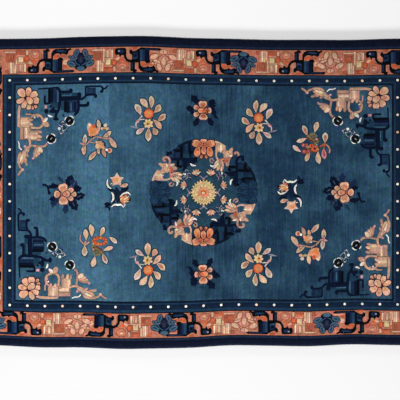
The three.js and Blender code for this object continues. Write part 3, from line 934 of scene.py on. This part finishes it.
def medallion():
    cx, cy = 203.6, 192.5
    shapes = [("fieldDeep", oval(cx, cy, 36.0, 36.0, 0, 32))]
    for turn in (0, 90, 180, 270):
        shapes += place(medallionQuarter(), cx, cy, turn)
    bright = medallionFlower("maroon", "peach", "salmon", "orange", "apricot", "garnet", "garnet", "coral")
    dull = medallionFlower(
        "guardNavy", "guardBlue", "tealDeep", "tealDeep", "tealDeep", "guardNavy", "navyMid", "navyMid")
    for turn, items in ((0, bright), (180, bright), (90, dull), (270, dull)):
        shapes += place(items, cx, cy, turn)
    # chrysanthemum
    for turn in (0, 90, 180, 270):
        a = math.radians(turn)
        shapes.append(("apricot", leaf(cx + 11.0 * math.cos(a), cy - 11.0 * math.sin(a), 8.0, 3.0, turn)))
    rings = (  # dye, outer and inner radius, points, turn
        ("shade", 13.9, 12.0, 24, 0), ("straw", 13.2, 10.6, 24, 0), ("gold", 11.4, 8.8, 24, 0),
        ("straw", 10.4, 7.4, 24, 0), ("honey", 7.8, 5.2, 12, 0), ("peach", 5.8, 4.4, 8, 0),
        ("flame", 3.8, 2.4, 6, 30),
    )
    shapes += [(name, starRing(cx, cy, *sizes)) for name, *sizes in rings]
    shapes.append(("cream", oval(cx - 0.3, cy + 0.6, 1.5, 1.4, 0, 8)))
    return shapes


def fieldMotifs():
    rows = (  # motif, x, y, turn, mirrored
        (bigSpray, 148.5, 118.0, 0, False), (bigSpray, 258.9, 120.5, 0, True),
        (bigSpray, 147.9, 266.0, 180, True), (bigSpray, 258.4, 265.7, 180, False),
        (tulipSpray, 98.2, 138.2, 0, False), (tulipSpray, 309.4, 246.6, 180, False),
        (berrySpray, 308.2, 140.2, 0, False), (ringedBerrySpray, 101.6, 247.4, 180, False),
        (sidePeony, 65.0, 194.0, 0, False), (sidePeony, 342.8, 192.6, 180, False),
        (topPeony, 203.0, 110.4, 0, False), (topPeony, 203.0, 274.2, 180, False),
        (butterfly, 116.6, 191.8, 0, False), (butterfly, 291.6, 194.6, 180, False),
    )
    shapes = []
    for motif, x, y, turn, mirrored in rows:
        shapes += place(motif(), x, y, turn, mirror=mirrored)
    return shapes


def wholeChart():
    return bands() + pearls() + mainBorder() + corners() + medallion() + fieldMotifs()


def toLinear(hexColour):
    # sRGB hex to the linear values that shaders take
    channels = [int(hexColour[i:i + 2], 16) / 255 for i in (1, 3, 5)]
    return tuple(c / 12.92 if c <= 0.04045 else ((c + 0.055) / 1.055) ** 2.4 for c in channels) + (1.0,)


def addNode(tree, kind, values=None, links=None, **settings):
    node = tree.nodes.new(kind)
    for key, value in settings.items():
        setattr(node, key, value)
    for key, value in (values or {}).items():
        node.inputs[key].default_value = value
    for key, source in (links or {}).items():
        tree.links.new(source, node.inputs[key])
    return node


def newMaterial(name):
    material = bpy.data.materials.new(name)
    material.use_nodes = True
    material.node_tree.nodes.clear()
    return material, material.node_tree


def addNoise(tree, where, scale, detail, roughness=0.5):
    values = {"Scale": scale, "Detail": detail, "Roughness": roughness}
    return addNode(tree, "ShaderNodeTexNoise", values, {"Vector": where})


def addSurface(tree, values, links=None):
    shader = addNode(tree, "ShaderNodeBsdfPrincipled", values, links)
    addNode(tree, "ShaderNodeOutputMaterial", links={"Surface": shader.outputs["BSDF"]})


def addObject(name, mesh):
    piece = bpy.data.objects.new(name, mesh)
    scene.collection.objects.link(piece)
    return piece


# how far the uneven long sides reach at each place along the rug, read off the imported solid
sideReading = {
    "endsOut": 1.1,  # corner radii left out at each end
    "sideFrom": 0.8,  # share of the mean half width beyond which a point belongs to the side
    "nearBy": 0.025,
}
solid = np.array([v.co[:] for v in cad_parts["rug"].data.vertices])
square = chart["square"]
meanHalf = chart["halfWidth"] * square
halfLength = chart["halfLength"] * square


def sideReach(sign):
    straight = solid[np.abs(solid[:, 0]) < halfLength - cloth["cornerRadius"] * sideReading["endsOut"]]
    stations = {}
    for x, y, _ in straight:
        if sign * y > meanHalf * sideReading["sideFrom"]:
            key = round(float(x), 3)
            stations[key] = max(stations.get(key, 0.0), sign * float(y))
    xs = np.array(sorted(stations))
    ys = np.array([stations[x] for x in xs])
    # stations of the inner rings lie a little in from the edge, so take the highest near by
    return xs, np.array([ys[np.abs(xs - x) < sideReading["nearBy"]].max() for x in xs])


reachFar = sideReach(1)
reachNear = sideReach(-1)


def laid(x, y):
    # arrays of places on the even rug, in metres, moved to where the uneven cloth has them
    far = np.interp(x, *reachFar) / meanHalf
    near = np.interp(x, *reachNear) / meanHalf
    return x, y * np.where(y > 0, far, near)


def edgeDistance(x, y):
    # how far in from the rounded outline of the even rug
    radius = cloth["cornerRadius"]
    qx = np.abs(x) - (halfLength - radius)
    qy = np.abs(y) - (meanHalf - radius)
    outside = np.hypot(np.maximum(qx, 0), np.maximum(qy, 0))
    return radius - outside - np.minimum(np.maximum(qx, qy), 0)


def roundedRing(inset, step):
    # the outline of the even rug drawn in by an inset, in metres
    radius = cloth["cornerRadius"] - inset
    hx, hy = halfLength - cloth["cornerRadius"], meanHalf - cloth["cornerRadius"]
    steps = 5  # to a corner
    ring = []
    arcs = ((hx, -hy, -90), (hx, hy, 0), (-hx, hy, 90), (-hx, -hy, 180))
    for i, (x, y, start) in enumerate(arcs):
        angles = [math.radians(start + 90 * k / steps) for k in range(steps + 1)]
        arc = [(x + radius * math.cos(a), y + radius * math.sin(a)) for a in angles]
        ring += arc
        nx, ny, nextStart = arcs[(i + 1) % 4]
        a = math.radians(nextStart)
        x1, y1 = nx + radius * math.cos(a), ny + radius * math.sin(a)
        x0, y0 = arc[-1]
        count = max(int(math.hypot(x1 - x0, y1 - y0) / step), 2)
        ring += [(x0 + (x1 - x0) * k / count, y0 + (y1 - y0) * k / count) for k in range(1, count)]
    return ring


def insideRing(ring, px, py):
    # which points lie inside a closed ring, by its winding
    winding = np.zeros(len(px), int)
    for (x0, y0), (x1, y1) in zip(ring, ring[1:] + ring[:1]):
        side = (x1 - x0) * (py - y0) - (px - x0) * (y1 - y0)
        winding += ((y0 <= py) & (y1 > py) & (side > 0)).astype(int)
        winding -= ((y1 <= py) & (y0 > py) & (side < 0)).astype(int)
    return winding != 0


weave = {
    "gridStep": 0.015,  # spacing of the free points between the motifs
    "rimStep": 0.010,  # spacing round the rim
    "rimInsets": (0.007, 0.0088, 0.0115, 0.0165),  # rings of the pile's shoulder
    "rimClear": 0.004,  # from the last ring to the first free points
    "snap": 0.00025,  # points nearer than this become one
}


def weaveChart():
    # the chart cut into triangles along every outline, with the dye of each triangle
    cx, cy = chart["middle"]
    patches = []
    for name, ring in wholeChart():
        patches.append((name, [((x - cx) * square, (cy - y) * square) for x, y in ring]))
    points, edges = [], []
    for i, inset in enumerate(weave["rimInsets"]):
        ring = roundedRing(inset, weave["rimStep"])
        if i == 0:
            edges += [(k, (k + 1) % len(ring)) for k in range(len(ring))]
        points += ring
    step = weave["gridStep"]
    innermost = weave["rimInsets"][-1] + weave["rimClear"]
    for row, gy in enumerate(np.arange(-meanHalf, meanHalf, step)):
        gx = np.arange(-halfLength, halfLength, step) + (row % 2) * step / 2
        keep = edgeDistance(gx, np.full_like(gx, gy)) > innermost
        points += [(x, gy) for x in gx[keep]]
    for name, ring in patches:
        if edgeDistance(*np.array(ring).T).min() < weave["rimInsets"][0]:
            continue
        start = len(points)
        points += ring
        edges += [(start + k, start + (k + 1) % len(ring)) for k in range(len(ring))]
    verts, _, faces, _, _, _ = delaunay_2d_cdt(points, edges, [], 0, weave["snap"], False)
    flat = np.array([v[:] for v in verts])
    tris = np.array([f[:] for f in faces])
    mid = flat[tris].mean(axis=1)
    order = np.argsort(mid[:, 0])
    sortedX = mid[order, 0]
    dyeOf = np.zeros(len(tris), int)  # the rim's dye where no patch lies
    names = list(dyes)
    for name, ring in patches:
        xs, ys = zip(*ring)
        lo, hi = np.searchsorted(sortedX, (min(xs), max(xs)))
        near = order[lo:hi]
        near = near[(mid[near, 1] >= min(ys)) & (mid[near, 1] <= max(ys))]
        dyeOf[near[insideRing(ring, mid[near, 0], mid[near, 1])]] = names.index(name)
    return flat, tris, dyeOf


flat, tris, dyeOf = weaveChart()
print("chart woven:", len(flat), "points,", len(tris), "triangles")


def boundaryLoop(triangles):
    # the outer edge of a triangle sheet as one closed run of points
    pairs = {}
    for a, b, c in triangles:
        for edge in ((a, b), (b, c), (c, a)):
            pairs[edge] = True
    following = {a: b for a, b in pairs if (b, a) not in pairs}
    first = next(iter(following))
    loop = [first]
    while following[loop[-1]] != first:
        loop.append(following[loop[-1]])
    return loop


def softNoise(x, y, size, perMetre, seed):
    # gentle unevenness from a few crossed waves, repeatable
    rng = np.random.default_rng(seed)
    count = 7
    total = np.zeros_like(x)
    for _ in range(count):
        angle, phase = rng.uniform(0, 2 * math.pi, 2)
        total += np.sin(x * perMetre * math.cos(angle) + y * perMetre * math.sin(angle) + phase)
    return size * (total / count)


bakeLayout = {
    # the woven face fills most of the bake's square, the plain faces a strip above it
    "long": 0.98,
    "wovenTall": 0.94,
    "wovenMiddle": 0.475,
    "plainTall": 0.04,
    "plainMiddle": 0.97,
    "widest": 1.03,  # the uneven sides against the mean width
}

# painted light and shade laid into the dyes as a gradient over the rug
paintedLight = {
    "middle": 0.94,  # painted light: the motifs' dyes are darkened to this share at the rug's middle
    "perMetre": (-0.055, -0.14),  # painted light, per metre along and across: brighter towards the left and the near side, where the light falls stronger
}


def sheetMesh(name, top, capHeight, upward):
    # a closed sheet: the woven triangles on one face, a plain cap on the other
    loop = boundaryLoop(tris.tolist())
    faces = tris if upward else tris[:, ::-1]
    lx, ly = laid(flat[loop, 0], flat[loop, 1])
    points = np.vstack([top, np.column_stack([lx, ly, np.full(len(loop), capHeight)])])
    base = len(top)
    count = len(loop)
    polygons = faces.tolist()
    for i in range(count):
        j = (i + 1) % count
        wall = [loop[i], base + i, base + j, loop[j]]
        polygons.append(wall if upward else wall[::-1])
    cap = [base + i for i in range(count)]
    polygons.append(cap[::-1] if upward else cap)
    mesh = bpy.data.meshes.new(name)
    mesh.from_pydata([tuple(p) for p in points], [], polygons)
    mesh.polygons.foreach_set("use_smooth", np.ones(len(polygons), bool))
    # dye colour on every corner, alpha 1 where the field's own wool lies
    names = list(dyes)
    palette = np.array([toLinear(dyes[n]) for n in names])
    palette[:, 3] = [1.0 if n == "field" else 0.0 for n in names]
    perFace = np.zeros((len(polygons), 4))
    perFace[:len(tris)] = palette[dyeOf]
    perFace[len(tris):] = palette[0]
    sizes = np.array([len(p) for p in polygons])
    corner = np.concatenate([np.array(p) for p in polygons])
    # painted light: each corner's colour is scaled by where it lies on the rug, darker towards the right
    # and the far side
    depth = paintedLight["middle"] + points[corner, :2] @ np.array(paintedLight["perMetre"])
    colours = np.repeat(perFace, sizes, axis=0)
    colours[:, :3] *= depth[:, None]
    dye = mesh.color_attributes.new("dye", "FLOAT_COLOR", "CORNER")
    dye.data.foreach_set("color", colours.astype(np.float32).ravel())
    owner = np.repeat(np.arange(len(polygons)), sizes)
    across = points[corner, 1] / (2 * meanHalf * bakeLayout["widest"])
    u = points[corner, 0] / (2 * halfLength) * bakeLayout["long"] + 0.5
    woven = across * bakeLayout["wovenTall"] + bakeLayout["wovenMiddle"]
    plain = across * bakeLayout["plainTall"] + bakeLayout["plainMiddle"]
    v = np.where(owner >= len(tris), plain, woven)
    bake = mesh.uv_layers.new(name="OFBake")
    bake.data.foreach_set("uv", np.column_stack([u, v]).astype(np.float32).ravel())
    mesh.validate()
    mesh.update()
    return mesh


pileSettings = {
    "carve": 0.0007,  # pile clipped down along each outline
    "room": 0.0006,  # left under the pile's top for the waves
    "waves": {"size": 0.0006, "perMetre": 22, "seed": 5},  # low waves of the lying cloth
    "overCord": 0.0004,  # the rim's pile starts this far above the edge cord
    "ragged": {"size": 0.0012, "perMetre": 420, "seed": 9},  # in and out along the rim
}


def pileMesh():
    x, y = flat[:, 0], flat[:, 1]
    inset = edgeDistance(x, y)
    first, last = weave["rimInsets"][0], weave["rimInsets"][-1]
    rise = np.clip((inset - first) / (last - first), 0, 1)
    low = cloth["cordHeight"] + pileSettings["overCord"]
    z = low + (cloth["pileTop"] - pileSettings["room"] - low) * np.sqrt(1 - (1 - rise) ** 2)
    # points where two dyes meet
    lowest, highest = np.full(len(flat), len(dyes)), np.full(len(flat), -1)
    for k in range(3):
        np.minimum.at(lowest, tris[:, k], dyeOf)
        np.maximum.at(highest, tris[:, k], dyeOf)
    outlined = lowest != highest
    z -= pileSettings["carve"] * outlined * (rise >= 1)
    z += softNoise(x, y, **pileSettings["waves"]) * rise
    wx, wy = laid(x, y)
    ragged = softNoise(x, y, **pileSettings["ragged"]) * (1 - rise)
    wx, wy = wx * (1 + ragged / halfLength), wy * (1 + ragged / meanHalf)
    return sheetMesh("pile", np.column_stack([wx, wy, z]), cloth["foundationTop"], upward=True)


def foundationMesh():
    # the knotted back shows the same chart, on the floor
    wx, wy = laid(flat[:, 0], flat[:, 1])
    top = cloth["foundationTop"] - cloth["layerGap"]
    return sheetMesh("foundation", np.column_stack([wx, wy, np.zeros(len(flat))]), top, upward=False)


dyeLots = {
    "pale": "#46708a",  # first vat, washed out
    "deep": "#1b354c",  # last vat, hardly faded
    # place along the rug in chart squares, share of the pale vat
    "rows": (
        (15, 0.7), (57, 0.49), (84, 0.86), (97, 1.0), (106.0, 1.0), (106.6, 1.2), (108.3, 1.1),
        (108.9, 0.54), (145, 0.5), (203, 0.17), (247, 0.22), (255.6, 0.2), (256.4, 0.04), (290, 0.05),
        (345, 0.18), (390, 0.33),
    ),
}

woolLook = {
    "knot": 0.0083,  # metres, drawn at twice the real knot so that it shows
    "streak": 0.0087,  # across the wefts
    "streakLong": 22.0,  # times longer than wide
    "patch": 0.024,  # dabs of dye that took better or worse
    "blotch": 0.2,  # broad unevenness of the field
    "streakShare": 0.12,  # how far streaks and blotches move the field between its two vats
    "blotchShare": 0.26,
    "shareSpan": (0.3, 0.7),  # part of the noise that counts
    "knotTone": 0.14,  # how far each lightens and darkens every dye
    "streakTone": 0.09,
    "patchTone": 0.28,
    "patchHue": 0.13,
    "toneSpan": (0.2, 0.8),
}


def woolMaterial(name, knotBump, haze):
    # cut wool pile, hand-knotted and vegetable dyed: matt, a slight haze at low angles, dye lots
    # that change along the rug, fine streaks along the wefts and dabs of uneven dye
    material, tree = newMaterial(name)
    where = addNode(tree, "ShaderNodeTexCoord").outputs["Object"]
    axes = addNode(tree, "ShaderNodeSeparateXYZ", links={"Vector": where})
    dye = addNode(tree, "ShaderNodeVertexColor", layer_name="dye")
    along = addNode(tree, "ShaderNodeMapRange", {"From Min": -halfLength, "From Max": halfLength},
                    {"Value": axes.outputs["X"]})
    lots = addNode(tree, "ShaderNodeValToRGB", links={"Fac": along.outputs["Result"]})
    ramp = lots.color_ramp
    for i, (at, share) in enumerate(dyeLots["rows"]):
        position = ((at - chart["middle"][0]) * square + halfLength) / (2 * halfLength)
        stop = ramp.elements[i] if i < 2 else ramp.elements.new(position)
        stop.position = position
        stop.color = (share, share, share, 1.0)
    stretched = addNode(tree, "ShaderNodeMapping", {"Scale": (1.0, 1 / woolLook["streakLong"], 1.0)},
                        {"Vector": where})
    streaks = addNoise(tree, stretched.outputs["Vector"], 1 / woolLook["streak"], detail=3.0, roughness=0.6)
    blotches = addNoise(tree, where, 1 / woolLook["blotch"], detail=4.0, roughness=0.55)
    # share of the pale vat: dye lot, streaks and blotches added up
    share = lots.outputs["Color"]
    least, most = woolLook["shareSpan"]
    for source, reach in ((streaks, woolLook["streakShare"]), (blotches, woolLook["blotchShare"])):
        change = addNode(tree, "ShaderNodeMapRange",
                         {"From Min": least, "From Max": most, "To Min": -reach, "To Max": reach},
                         {"Value": source.outputs["Fac"]})
        share = addNode(tree, "ShaderNodeMath", None, {0: share, 1: change.outputs["Result"]},
                        operation="ADD").outputs[0]
    fieldWool = addNode(tree, "ShaderNodeMix", {6: toLinear(dyeLots["deep"]), 7: toLinear(dyeLots["pale"])},
                        {0: share}, data_type="RGBA")
    wool = addNode(tree, "ShaderNodeMix", None,
                   {0: dye.outputs["Alpha"], 6: dye.outputs["Color"], 7: fieldWool.outputs[2]},
                   data_type="RGBA").outputs[2]
    knots = addNode(tree, "ShaderNodeTexVoronoi", {"Scale": 1 / woolLook["knot"], "Randomness": 0.9},
                    {"Vector": where})
    patches = addNoise(tree, where, 1 / woolLook["patch"], detail=3.0, roughness=0.55)
    # each source lightens and darkens every dye, the colours of knots and dabs also shift its hue
    tones = (
        (knots.outputs["Color"], "knotTone"), (streaks.outputs["Fac"], "streakTone"),
        (patches.outputs["Fac"], "patchTone"), (patches.outputs["Color"], "patchHue"),
    )
    least, most = woolLook["toneSpan"]
    for source, setting in tones:
        low, high = 1 - woolLook[setting], 1 + woolLook[setting]
        change = addNode(tree, "ShaderNodeMapRange",
                         {7: (least,) * 3, 8: (most,) * 3, 9: (low,) * 3, 10: (high,) * 3},
                         {6: source}, data_type="FLOAT_VECTOR")
        wool = addNode(tree, "ShaderNodeVectorMath", None, {0: wool, 1: change.outputs["Vector"]},
                       operation="MULTIPLY").outputs["Vector"]
    bump = addNode(tree, "ShaderNodeBump", {"Strength": knotBump, "Distance": 0.002},
                   {"Height": knots.outputs["Distance"]})
    matt = {"Roughness": 0.95, "Specular IOR Level": 0.05, "Sheen Weight": haze, "Sheen Roughness": 0.5}
    addSurface(tree, matt, {"Base Color": wool, "Normal": bump.outputs["Normal"]})
    return material


pile = addObject("pile", pileMesh())
pile.data.materials.append(woolMaterial("wool pile", knotBump=0.35, haze=0.02))
foundation = addObject("foundation", foundationMesh())
foundation.data.materials.append(woolMaterial("knotted back", knotBump=0.5, haze=0.0))
print("pile and foundation made")

overcast = {
    "yarnSpacing": 0.0044,  # one wrap to the next
    "yarnThick": 0.0015,
    "lineStep": 0.02,  # spacing of the edge line's points
    "wrapSides": 8,
    "yarnSides": 5,
    "flatten": 1.55,  # wraps pressed wider along the edge
    "slant": 0.16,  # of each wrap across the edge
    "uneven": ((0.9, 0.9, 0.9), (1.1, 1.0, 1.0)),  # least and most size of a wrap
    "shades": ("#090e1c", "#1b2540"),
    "seed": 4,
}


def yarnMaterial():
    # plied navy wool wrapped round the edge: matt, each wrap a little lighter or darker
    material, tree = newMaterial("overcast wool yarn")
    where = addNode(tree, "ShaderNodeTexCoord").outputs["Object"]
    tone = addNoise(tree, where, scale=160.0, detail=2.0)
    shades = addNode(tree, "ShaderNodeValToRGB", links={"Fac": tone.outputs["Fac"]})
    for stop, shade in zip(shades.color_ramp.elements, overcast["shades"]):
        stop.color = toLinear(shade)
    fibres = addNoise(tree, where, scale=900.0, detail=3.0)
    bump = addNode(tree, "ShaderNodeBump", {"Strength": 0.4, "Distance": 0.0006},
                   {"Height": fibres.outputs["Fac"]})
    addSurface(tree, {"Roughness": 0.92, "Specular IOR Level": 0.1, "Sheen Weight": 0.03},
               {"Base Color": shades.outputs["Color"], "Normal": bump.outputs["Normal"]})
    return material


def overcastTree(material):
    # wraps of yarn set along the edge line, one after the other
    tree = bpy.data.node_groups.new("overcastEdge", "GeometryNodeTree")
    face = tree.interface
    face.new_socket("Geometry", in_out="OUTPUT", socket_type="NodeSocketGeometry")
    face.new_socket("Edge line", in_out="INPUT", socket_type="NodeSocketGeometry")
    for label in ("Yarn spacing", "Yarn thick", "Cord width", "Cord height"):
        face.new_socket(label, in_out="INPUT", socket_type="NodeSocketFloat")
    face.new_socket("Seed", in_out="INPUT", socket_type="NodeSocketInt")
    given = addNode(tree, "NodeGroupInput")
    line = addNode(tree, "GeometryNodeMeshToCurve", links={"Mesh": given.outputs["Edge line"]})
    spaced = addNode(tree, "GeometryNodeResampleCurve", None,
                     {"Curve": line.outputs["Curve"], "Length": given.outputs["Yarn spacing"]},
                     mode="LENGTH")
    tangent = addNode(tree, "GeometryNodeInputTangent")
    facing = addNode(tree, "FunctionNodeAlignRotationToVector", None,
                     {"Vector": tangent.outputs["Tangent"]}, axis="X", pivot_axis="Z")
    ring = addNode(tree, "GeometryNodeCurvePrimitiveCircle",
                   {"Resolution": overcast["wrapSides"], "Radius": 1.0})
    # the ring lies across the edge: its own X along the cord's width, its Y upwards
    quarter = math.radians(90)
    upright = addNode(tree, "GeometryNodeTransform", {"Rotation": (quarter, 0.0, quarter)},
                      {"Geometry": ring.outputs["Curve"]})
    inner = []
    for label in ("Cord width", "Cord height"):
        half = addNode(tree, "ShaderNodeMath", {1: 0.5}, {0: given.outputs[label]}, operation="MULTIPLY")
        less = addNode(tree, "ShaderNodeMath", None,
                       {0: half.outputs[0], 1: given.outputs["Yarn thick"]}, operation="SUBTRACT")
        inner.append(less.outputs[0])
    sized = addNode(tree, "ShaderNodeCombineXYZ", {0: 1.0}, {1: inner[0], 2: inner[1]})
    wrap = addNode(tree, "GeometryNodeTransform", None,
                   {"Geometry": upright.outputs["Geometry"], "Scale": sized.outputs["Vector"]})
    section = addNode(tree, "GeometryNodeCurvePrimitiveCircle", {"Resolution": overcast["yarnSides"]},
                      {"Radius": given.outputs["Yarn thick"]})
    yarn = addNode(tree, "GeometryNodeCurveToMesh", None,
                   {"Curve": wrap.outputs["Geometry"], "Profile Curve": section.outputs["Curve"]})
    flattened = addNode(tree, "GeometryNodeTransform",
                        {"Scale": (overcast["flatten"], 1.0, 1.0),
                         "Rotation": (0.0, 0.0, overcast["slant"])},
                        {"Geometry": yarn.outputs["Mesh"]})
    least, most = overcast["uneven"]
    uneven = addNode(tree, "FunctionNodeRandomValue", {"Min": least, "Max": most},
                     {"Seed": given.outputs["Seed"]}, data_type="FLOAT_VECTOR")
    wraps = addNode(tree, "GeometryNodeInstanceOnPoints", None,
                    {"Points": spaced.outputs["Curve"], "Instance": flattened.outputs["Geometry"],
                     "Rotation": facing.outputs["Rotation"], "Scale": uneven.outputs["Value"]})
    real = addNode(tree, "GeometryNodeRealizeInstances", links={"Geometry": wraps.outputs["Instances"]})
    dressed = addNode(tree, "GeometryNodeSetMaterial", {"Material": material},
                      {"Geometry": real.outputs["Geometry"]})
    addNode(tree, "NodeGroupOutput", links={"Geometry": dressed.outputs["Geometry"]})
    return tree


def overcastEdge():
    # the middle of the edge cord as one closed line of points
    ring = np.array(roundedRing(cloth["cordWidth"] / 2, overcast["lineStep"]))
    x, y = laid(ring[:, 0], ring[:, 1])
    z = np.full(len(ring), cloth["cordHeight"] / 2)
    lineMesh = bpy.data.meshes.new("edgeLine")
    count = len(ring)
    lineMesh.from_pydata(list(zip(x, y, z)), [(i, (i + 1) % count) for i in range(count)], [])
    holder = addObject("edgeLine", lineMesh)
    tree = overcastTree(yarnMaterial())
    modifier = holder.modifiers.new("overcast", "NODES")
    modifier.node_group = tree
    given = {
        "Yarn spacing": overcast["yarnSpacing"], "Yarn thick": overcast["yarnThick"],
        "Cord width": cloth["cordWidth"], "Cord height": cloth["cordHeight"], "Seed": overcast["seed"],
    }
    for item in tree.interface.items_tree:
        if item.item_type == "SOCKET" and item.in_out == "INPUT" and item.name in given:
            modifier[item.identifier] = given[item.name]
    done = holder.evaluated_get(bpy.context.evaluated_depsgraph_get())
    mesh = bpy.data.meshes.new_from_object(done)
    mesh.name = "edgeYarn"
    bpy.data.objects.remove(holder)
    mesh.polygons.foreach_set("use_smooth", np.ones(len(mesh.polygons), bool))
    return addObject("edgeYarn", mesh)


edgeYarn = overcastEdge()
print("edge overcast:", len(edgeYarn.data.polygons), "faces")

for piece in (pile, foundation, edgeYarn):
    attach(piece, "root")
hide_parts("rug")

# plain pale floor, soft light, camera straight above
stageSettings = {
    "floorHalf": 12.0,
    "floorDrop": 0.0005,  # keeps the floor clear of the rug's back
    "floorColour": "#fdfdfd",
    "skyStrength": 0.33,
    "lens": 85.0,
    "sensor": 36.0,
    "frameSquares": 400,  # the picture's width in chart squares
    "frameMiddle": (200.0, 200.0),
}


def floorPlane():
    half, z = stageSettings["floorHalf"], -stageSettings["floorDrop"]
    mesh = bpy.data.meshes.new("floor")
    points = [(-half, -half, z), (half, -half, z), (half, half, z), (-half, half, z)]
    mesh.from_pydata(points, [], [(0, 1, 2, 3)])
    # matt off-white paint, so that only the soft shadows show on it
    material, tree = newMaterial("painted floor")
    addSurface(tree, {"Base Color": toLinear(stageSettings["floorColour"]), "Roughness": 0.9})
    mesh.materials.append(material)
    return addObject("floor", mesh)


floorPlane()

world = bpy.data.worlds.new("studio")
world.use_nodes = True
sky = world.node_tree.nodes["Background"].inputs
sky["Color"].default_value = (1.0, 1.0, 1.0, 1.0)
sky["Strength"].default_value = stageSettings["skyStrength"]
scene.world = world


def softbox(name, spot, size, power):
    # an area light turned to the middle of the rug
    light = bpy.data.lights.new(name, "AREA")
    light.shape = "RECTANGLE"
    light.size, light.size_y = size
    light.energy = power
    lamp = bpy.data.objects.new(name, light)
    scene.collection.objects.link(lamp)
    lamp.location = spot
    lamp.rotation_euler = (-lamp.location).to_track_quat("-Z", "Y").to_euler()


# one softbox above the far side, and a low one beyond each long side for the shadows along the edges
softbox("overheadSoftbox", spot=(-1.2, 2.0, 5.2), size=(4.0, 2.6), power=118.0)
softbox("lowSoftbox", spot=(0.0, -13.0, 2.0), size=(3.6, 0.9), power=3300.0)
softbox("farSoftbox", spot=(2.0, 13.0, 2.0), size=(3.6, 0.9), power=620.0)

camera = bpy.data.objects.new("camera", bpy.data.cameras.new("camera"))
scene.collection.objects.link(camera)
camera.data.lens = stageSettings["lens"]
camera.data.sensor_width = stageSettings["sensor"]
width = stageSettings["frameSquares"] * square
height = width * stageSettings["lens"] / stageSettings["sensor"]
frameX, frameY = stageSettings["frameMiddle"]
chartX, chartY = chart["middle"]
camera.location = ((frameX - chartX) * square, (chartY - frameY) * square, height + cloth["pileTop"])
scene.camera = camera
